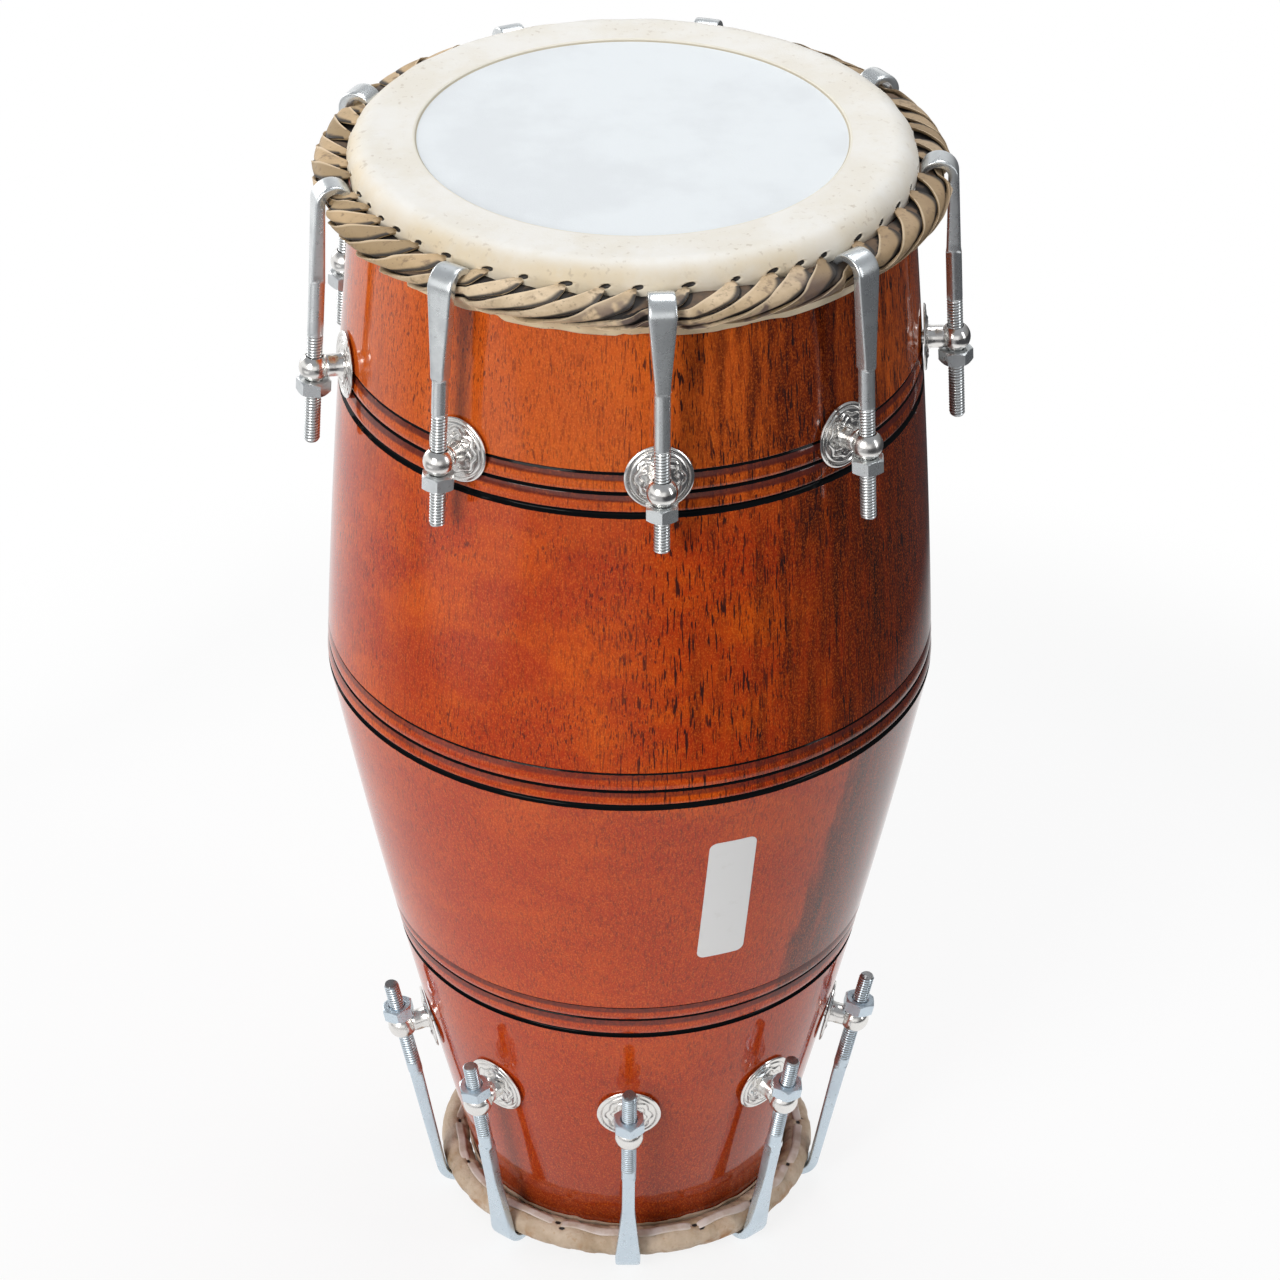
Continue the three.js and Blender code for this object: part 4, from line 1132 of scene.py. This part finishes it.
along = np.linspace(0, 1, lace_rows)[None, :, None]
number = np.arange(lace_count)[:, None, None]
corner = turn_round(lace_corners)[None]
lace_azimuth = (number + 0.04 + 0.92 * along) * 2 * math.pi / lace_count
rise = 1.25 * unit(np.minimum(along, 1 - along) / 0.12) ** 0.6 - 0.85
sway = 0.5 * np.sin(2 * math.pi * along + 2.3 * number) + 0.2 * np.sin(9 * along + number)
lace_across = (lace_half_width * np.cos(corner) + sway) / ring_half
groove = 0.32 * bell(np.cos(corner), 0.15, 0.3) * (np.sin(corner) > 0)
lace_up = ring_half + rise - 0.25 + lace_thickness / 2 * np.sin(corner) - groove
laces = about_ring(lace_angle(lace_azimuth) - lace_across, lace_azimuth, lace_up)
thong = Surfaced("lace_skin", lace_white, hide_surface, 120.0, 600.0, 1500.0)
thong.tint(thong.marks["Mottle"], ring_tan, 0.6)
add_piece(
    "ring_lace", [surface(one[::-1], capped=True) for one in laces],
    thong.shade(Roughness=0.6), sharp=60.0,
)


# Tension hooks
# Quarter-inch rod, threaded for the nut and forged flat above a chisel-cut shoulder, then bent
# over the head's hoop or ring. Dull zinc plate. Every rod was cut and threaded to its own length.
rod_radius, thread_pitch, thread_depth = 3.175, 1.27, 0.40
blade_width, blade_thickness, tip_width, tip_thickness = 10.8, 4.2, 9.8, 2.4
neck_thickness = 5.8
blade_shift = 0.7  # of the blade's middle, away from the drum
shoulder_bow, shoulder_length, squareness = 1.9, 1.1, 5.0  # of the step from the rod to the blade
tip_round, run_out_length, end_chamfer, end_slant = 1.6, 2.0, 0.6, 0.35
# Lengths along a rod are from the eye's centre, towards the head. The neck's width is followed by
# its length. seats are the rosette's back, the washer's face and the stud's end on the post.
head_hardware = {
    "bass": {
        "eye": (127.8322, 414.9710), "slope": 3.4132, "runs_up": True,
        "azimuths": bass_azimuths,
        "tails": 30.0 * np.array([0.84, 1.04, 1.17, 1.0, 0.93, 1.06, 0.97, 1.08, 0.90]),
        "thread_ends": [18.5, 16.8, 18.0, 16.0, 17.5, 15.2, 16.6, 15.4, 20.8],
        "shoulders": 38.4 * np.array([1.05, 0.82, 0.97, 0.93, 1.0, 0.90, 1.02, 0.95, 0.88]),
        "neck": (6.2, 4.6), "bend": 71.9875, "curl": 5.5563, "sweep": 176.0,
        "nut_turns": [25, -15, 32, 10, -8, 20, 5, 12, 4],
        "seats": (12.387, 26.800, 36.300),
    },
    "treble": {
        "eye": (98.7530, 87.5756), "slope": -11.6925, "runs_up": False,
        "azimuths": np.radians([0.6, 41.6, 80.4, 121.0, 160.8, 201.2, 241.0, 283.4, 320.9]),
        "tails": 24.0 * np.array([1.08, 1.0, 0.98, 1.04, 0.95, 1.0, 1.05, 0.94, 0.92]),
        "thread_ends": [22.4, 21.0, 22.8, 22.0, 23.0, 21.6, 22.6, 21.8, 20.4],
        "shoulders": np.full(9, 24.5),
        "neck": (5.5, 23.1), "bend": 78.8641, "curl": 8.1520, "sweep": 112.0,
        "nut_turns": [25, 8, -10, 15, -20, 28, 6, 13, -18],
        "seats": (12.270, 25.591, 35.091),
    },
}
tensioners = [(head, number) for head in head_hardware for number in range(hooks_per_head)]
zinc_light = (0.72, 0.75, 0.76)
zinc_dark = (0.54, 0.57, 0.59)
zinc_blue = (0.60, 0.71, 0.80)
zinc_soil_and_shade = (0.22, 0.21, 0.20)
blue_below = (0.20, 0.15)  # heights between which the plate turns bluer
hook_columns = 24


def set_in_place(local, head, number):
    """Moves places of one tensioner from its own frame to the drum's.

    Its own frame has the eye's centre as origin, X out along the post and Z along the rod
    towards the head that it pulls on.
    """
    hardware = head_hardware[head]
    eye_radius, eye_height = hardware["eye"]
    azimuth = hardware["azimuths"][number]
    out = np.array([math.sin(azimuth), -math.cos(azimuth), 0.0])
    up = np.array([0.0, 0.0, 1.0])
    tilt = math.radians(hardware["slope"])
    post = math.cos(tilt) * out + math.sin(tilt) * up
    rod = -math.sin(tilt) * out + math.cos(tilt) * up
    rod = rod if hardware["runs_up"] else -rod
    axes = np.stack([post, np.cross(rod, post), rod])
    return (local @ axes + eye_radius * out + eye_height * up) * MM


def hook_grid(head, number):
    """A hook as rows of outlines along its bent centreline, in its own frame, and its painted shade
    in the thread's valleys with soil on the tail's cut end.

    An outline goes from a circle to a rounded rectangle as its power grows. In the threaded part
    the radius follows a right-hand helix with round crests and valleys. The shoulder is bowed: it
    starts lowest in the middle. The blade's middle moves out by blade_shift as it thins. The
    tail's end is cut off a little out of square.
    """
    hardware = head_hardware[head]
    tail, thread_end, shoulder = (
        hardware[key][number] for key in ("tails", "thread_ends", "shoulders")
    )
    bend, curl = hardware["bend"], hardware["curl"]
    neck_width, neck_length = hardware["neck"]
    widen = shoulder + neck_length
    bend_length = math.radians(hardware["sweep"]) * curl
    stations = np.concatenate([
        [-tail, -tail + 0.3],
        np.arange(-tail + 0.6, thread_end, thread_pitch / 6),
        np.arange(thread_end + 0.3, shoulder - 0.2, 2.5),
        np.arange(shoulder, shoulder + 5.0, 0.35),
        np.linspace(shoulder + 5.4, bend, 16),
        bend + np.linspace(0, bend_length, 26)[1:],
    ])
    angle = turn_round(hook_columns) + math.pi / hook_columns
    station, angle = np.broadcast_arrays(stations[:, None], angle)
    cut = unit((station - shoulder_bow * np.sin(angle) ** 2 - shoulder) / shoulder_length)
    widened = unit((station - widen) / (bend - widen))
    past_bend = unit((station - bend) / bend_length)
    tapered = unit((station - shoulder) / (bend - shoulder))
    width = 2 * rod_radius + (neck_width - 2 * rod_radius) * cut
    width = width + (blade_width - neck_width) * widened + (tip_width - blade_width) * past_bend
    thick = 2 * rod_radius + (neck_thickness - 2 * rod_radius) * cut
    thick = thick + (blade_thickness - neck_thickness) * tapered
    thick = thick + (tip_thickness - blade_thickness) * past_bend
    end_share = unit((bend + bend_length - station) / tip_round)
    end_round = np.sqrt(np.clip(1 - (1 - end_share) ** 2, 0.12, 1))
    width = width * (0.35 + 0.65 * end_round)
    thick = thick * (0.45 + 0.55 * end_round)
    power = 2 / (2 + squareness * cut)
    section_x = np.sign(np.cos(angle)) * np.abs(np.cos(angle)) ** power * thick / 2
    section_y = np.sign(np.sin(angle)) * np.abs(np.sin(angle)) ** power * width / 2
    valley = 0.5 - 0.5 * np.cos(2 * math.pi * station / thread_pitch - angle)
    run_out = unit((thread_end - station) / run_out_length)
    start = unit((station + tail) / end_chamfer)
    cut_in = thread_depth * valley * run_out * start + end_chamfer * (1 - start)
    shrink = 1 - cut_in / rod_radius
    bent = np.clip(station - bend, 0, None) / curl
    slant = end_slant * np.cos(angle + 2.1 * number) * (1 - start)
    reach = curl + (section_x * shrink + blade_shift * tapered * (1 - past_bend))
    local_z = np.minimum(station, bend) + slant + reach * np.sin(bent)
    # Painted shade in the thread's valleys, and soil on the tail's cut end.
    valley_shade_and_soil = valley**2 * run_out * start + 0.9 * (1 - start)
    grid = np.stack([-curl + reach * np.cos(bent), section_y * shrink, local_z], -1)
    return grid, np.append(valley_shade_and_soil.ravel(), [0.9, 0.0])


# Plated metal: broad tarnish, fine brushing along the rod, and pits
plate = Group("plated_surface", {"Tarnish Scale": 60.0, "Pit Scale": 900.0})
plated_surface = plate.puts_out(
    Tarnish=plate.patches((plate.given["Tarnish Scale"], 1.0, 5.0, 0.6), 0.42, 0.70),
    Pits=plate.patches((plate.given["Pit Scale"], 1.0, 2.0, 0.6), 0.62, 0.72),
    Brushing=plate.noise(1400.0, 1 / 0.06, 2.0, 0.6),
)
zinc = Surfaced("dull_zinc", zinc_light, plated_surface, 90.0, 700.0)
zinc.tint(zinc.marks["Tarnish"], zinc_dark, 0.60)
zinc.tint(zinc.share(zinc.place("Z"), *blue_below), zinc_blue, 0.8)
zinc.tint(zinc.marks["Pits"], zinc_soil_and_shade, 0.30)
# Painted shade in the thread's valleys, with soil on the tail's end.
zinc.tint(zinc.share(zinc.painted("valley_shade_and_soil"), 0.15, 0.90), zinc_soil_and_shade, 0.85)
dull_zinc = zinc.shade(
    Metallic=0.82, Roughness=zinc.spread(zinc.marks["Tarnish"], 0.26, 0.40),
    Normal=zinc.bump(zinc.marks["Brushing"], 0.04, 0.0001),
)
for head, number in tensioners:
    places, valley_shade_and_soil = hook_grid(head, number)
    hook = f"{head}_hook_{number + 1}"
    add_piece(
        f"{head}_tension_hook_{number + 1}",
        [surface(set_in_place(places, head, number), capped=True)],
        dull_zinc, [hook], {"valley_shade_and_soil": valley_shade_and_soil}, 38.0, hook,
    )


# Tension nuts
# Hexagonal nuts, plated as the hooks are and chamfered at both faces. Each turns on its hook's
# thread, bears on the flat of the eye bolt's ball and pulls the hook to the middle of the drum.
nut_flat, nut_thickness, nut_face = 6.0, 5.8, -5.12
nut_bore, nut_bore_mouth, nut_chamfer_radius = 3.3, 3.8, 5.75
nut_columns = 72


def about_rod(radius, height, angle):
    """Places turned about the rod, in a tensioner's own frame."""
    radius, height, angle = np.broadcast_arrays(radius, height, angle)
    return np.stack([radius * np.cos(angle), radius * np.sin(angle), height], -1)


def nut_grid(flat, thickness, top, bore, mouth, chamfer_radius):
    """A nut about Z: the side is a hexagon, and each face's corners are cut by a 30 degree cone."""
    angle = turn_round(nut_columns)
    side = flat / np.cos((angle + math.pi / 6) % (math.pi / 3) - math.pi / 6)
    drop = np.clip(side - chamfer_radius, 0, None) * math.tan(math.radians(30))
    bottom = top - thickness
    rows = [
        (bore, bottom + 0.5), (mouth, bottom), (chamfer_radius, bottom), (side, bottom + drop),
        (side, top - drop), (chamfer_radius, top), (mouth, top), (bore, top - 0.5),
    ]
    radius, height = (np.concatenate([row[key] + 0 * angle for row in rows]) for key in (0, 1))
    return about_rod(radius, height, angle)


nut_shape = nut_grid(
    nut_flat, nut_thickness, nut_face, nut_bore, nut_bore_mouth, nut_chamfer_radius
)
for head, number in tensioners:
    turn = math.radians(head_hardware[head]["nut_turns"][number])
    across = [math.cos(turn), math.sin(turn), 0]
    places = nut_shape @ np.array([across, [-across[1], across[0], 0], [0, 0, 1]])
    nut = f"{head}_nut_{number + 1}"
    add_piece(
        f"{head}_tension_nut_{number + 1}",
        [surface(set_in_place(places, head, number), tube=True)],
        dull_zinc, [nut], None, 20.0, nut,
    )


# Eye bolts
# A ball with a hole for the rod, on a round post through a stamped rosette, with its stud, washer
# and nut inside the wall. Polished nickel plate.
ball_radius, ball_hole, ball_flat, ball_columns = 6.05, 3.4, 4.8, 40
rosette_radius, rosette_columns, petal_count = 13.3, 112, 8
groove_radius, scallop_radius, petal_radius, swirl_radius = 11.3, 9.1, 7.6, 6.6
groove_depth, scallop_depth, petal_height, swirl_depth = 0.45, 0.42, 0.45, 0.28
post_radius, stud_radius, stud_tip_radius = 4.5, 2.9, 2.4
washer_bore, washer_radius, washer_thickness = 3.2, 7.5, 1.5
inner_nut_flat, inner_nut_thickness, inner_nut_bore, inner_nut_chamfer = 5.0, 5.0, 3.0, 4.7
nickel = (0.82, 0.805, 0.78)
nickel_shade = (0.66, 0.63, 0.60)
nickel_hollow_shadow = (0.13, 0.12, 0.115)


def about_post(radius, distance, columns):
    """A surface turned about the post, from its radii and its distances towards the wood."""
    radius, distance = (np.reshape(one, (len(one), -1)) for one in (radius, distance))
    turned = about_rod(radius, -distance, turn_round(columns))
    return turned[..., [2, 0, 1]]


def rosette_grid(back):
    """Stamped rosette: a plain rim, a round groove, a raised band, a scalloped groove and petals.

    Each groove and band adds or takes a bell curve across the radius. The scallops' radius and
    the petals' height swing once round for each petal. Also gives the painted shade in its hollows.
    """
    reach = np.concatenate([
        [rosette_radius - 0.2, rosette_radius, rosette_radius],
        np.linspace(rosette_radius - 0.3, 4.0, 48),
    ])[:, None]
    angle = turn_round(rosette_columns)
    rise = 0.55 + 1.1 * (1 - reach / rosette_radius) + 0 * angle
    rise = rise + 0.35 * unit((rosette_radius - reach) / 0.6)
    round_petals = petal_count * angle
    groove = bell(reach, groove_radius, 0.36)
    scallop = bell(reach, scallop_radius + 0.55 * np.cos(round_petals), 0.42)
    swirl = bell(reach, swirl_radius + 0.8 * np.cos(round_petals + 1.2), 0.36)
    petals = bell(reach, petal_radius, 1.1) * (0.5 - 0.5 * np.cos(round_petals))
    rise = rise - groove_depth * groove - scallop_depth * scallop
    rise = rise - swirl_depth * swirl + petal_height * petals
    rise[:3] = [[0.0], [0.12], [0.45]]
    hollow_shadow = unit(0.55 * groove + 0.7 * scallop + 0.6 * swirl)
    return about_post(reach, back - rise, rosette_columns), hollow_shadow


def eye_bolt_grids(head):
    """Grids in the tensioner's own frame, each with whether it is a tube and how much painted shade
    it gets.

    They are the ball, post, rosette, stud, washer and the nut inside the wall.
    """
    back, washer, stud_end = head_hardware[head]["seats"]
    washer_back = washer + washer_thickness
    rim = math.degrees(math.asin(ball_flat / ball_radius))
    ball_profile = np.concatenate([
        arc((0, 0), ball_radius, -rim, rim, 22), [(ball_hole, ball_flat), (ball_hole, -ball_flat)],
    ])
    ball = about_rod(ball_profile[:, :1], ball_profile[:, 1:], turn_round(ball_columns))
    post = about_post(
        [3.4, 4.2, 4.45, post_radius, post_radius, post_radius, 4.7, 5.0],
        [4.0, 4.3, 4.7, 5.4, 7.5, back - 2.9, back - 2.5, back - 0.4], 32,
    )
    rosette, hollow_shadow = rosette_grid(back)
    stud = about_post(
        [stud_radius, stud_radius, stud_tip_radius],
        [back - 0.5, stud_end - 0.5, stud_end], 24,
    )
    plate = about_post(
        [washer_bore, washer_radius, washer_radius, washer_bore],
        [washer, washer, washer_back, washer_back], 36,
    )
    inner_nut = nut_grid(
        inner_nut_flat, inner_nut_thickness, -washer_back,
        inner_nut_bore, washer_bore, inner_nut_chamfer,
    )
    return [
        (ball, True, ball_profile[:, :1] <= ball_hole), (post[::-1], False, 0.0),
        (rosette, False, hollow_shadow), (stud[::-1], False, 0.0), (plate[::-1], True, 0.0),
        (inner_nut[..., [2, 1, 0]] * (1, 1, -1), True, 0.0),
    ]


bright = Surfaced("polished_nickel", nickel, plated_surface, 110.0, 800.0)
bright.tint(bright.marks["Tarnish"], nickel_shade, 0.40)
# Painted shade in the rosette's grooves and in the ball's bore.
bright.tint(bright.share(bright.painted("hollow_shadow"), 0.30, 1.10), nickel_hollow_shadow)
polished_nickel = bright.shade(
    Metallic=1.0, Roughness=bright.spread(bright.marks["Tarnish"], 0.18, 0.32)
)
for head, number in tensioners:
    parts, shades = [], []
    for grid, tube, shade in eye_bolt_grids(head):
        parts.append(surface(set_in_place(grid, head, number), tube=tube, capped=not tube))
        shades.append(np.broadcast_to(shade, grid.shape[:2]).ravel())
        shades.append(np.zeros(0 if tube else 2))
    add_piece(
        f"{head}_eye_bolt_{number + 1}_bright", parts, polished_nickel,
        [f"{head}_eye_bolt_{number + 1}"], {"hollow_shadow": np.concatenate(shades)}, 35.0,
    )
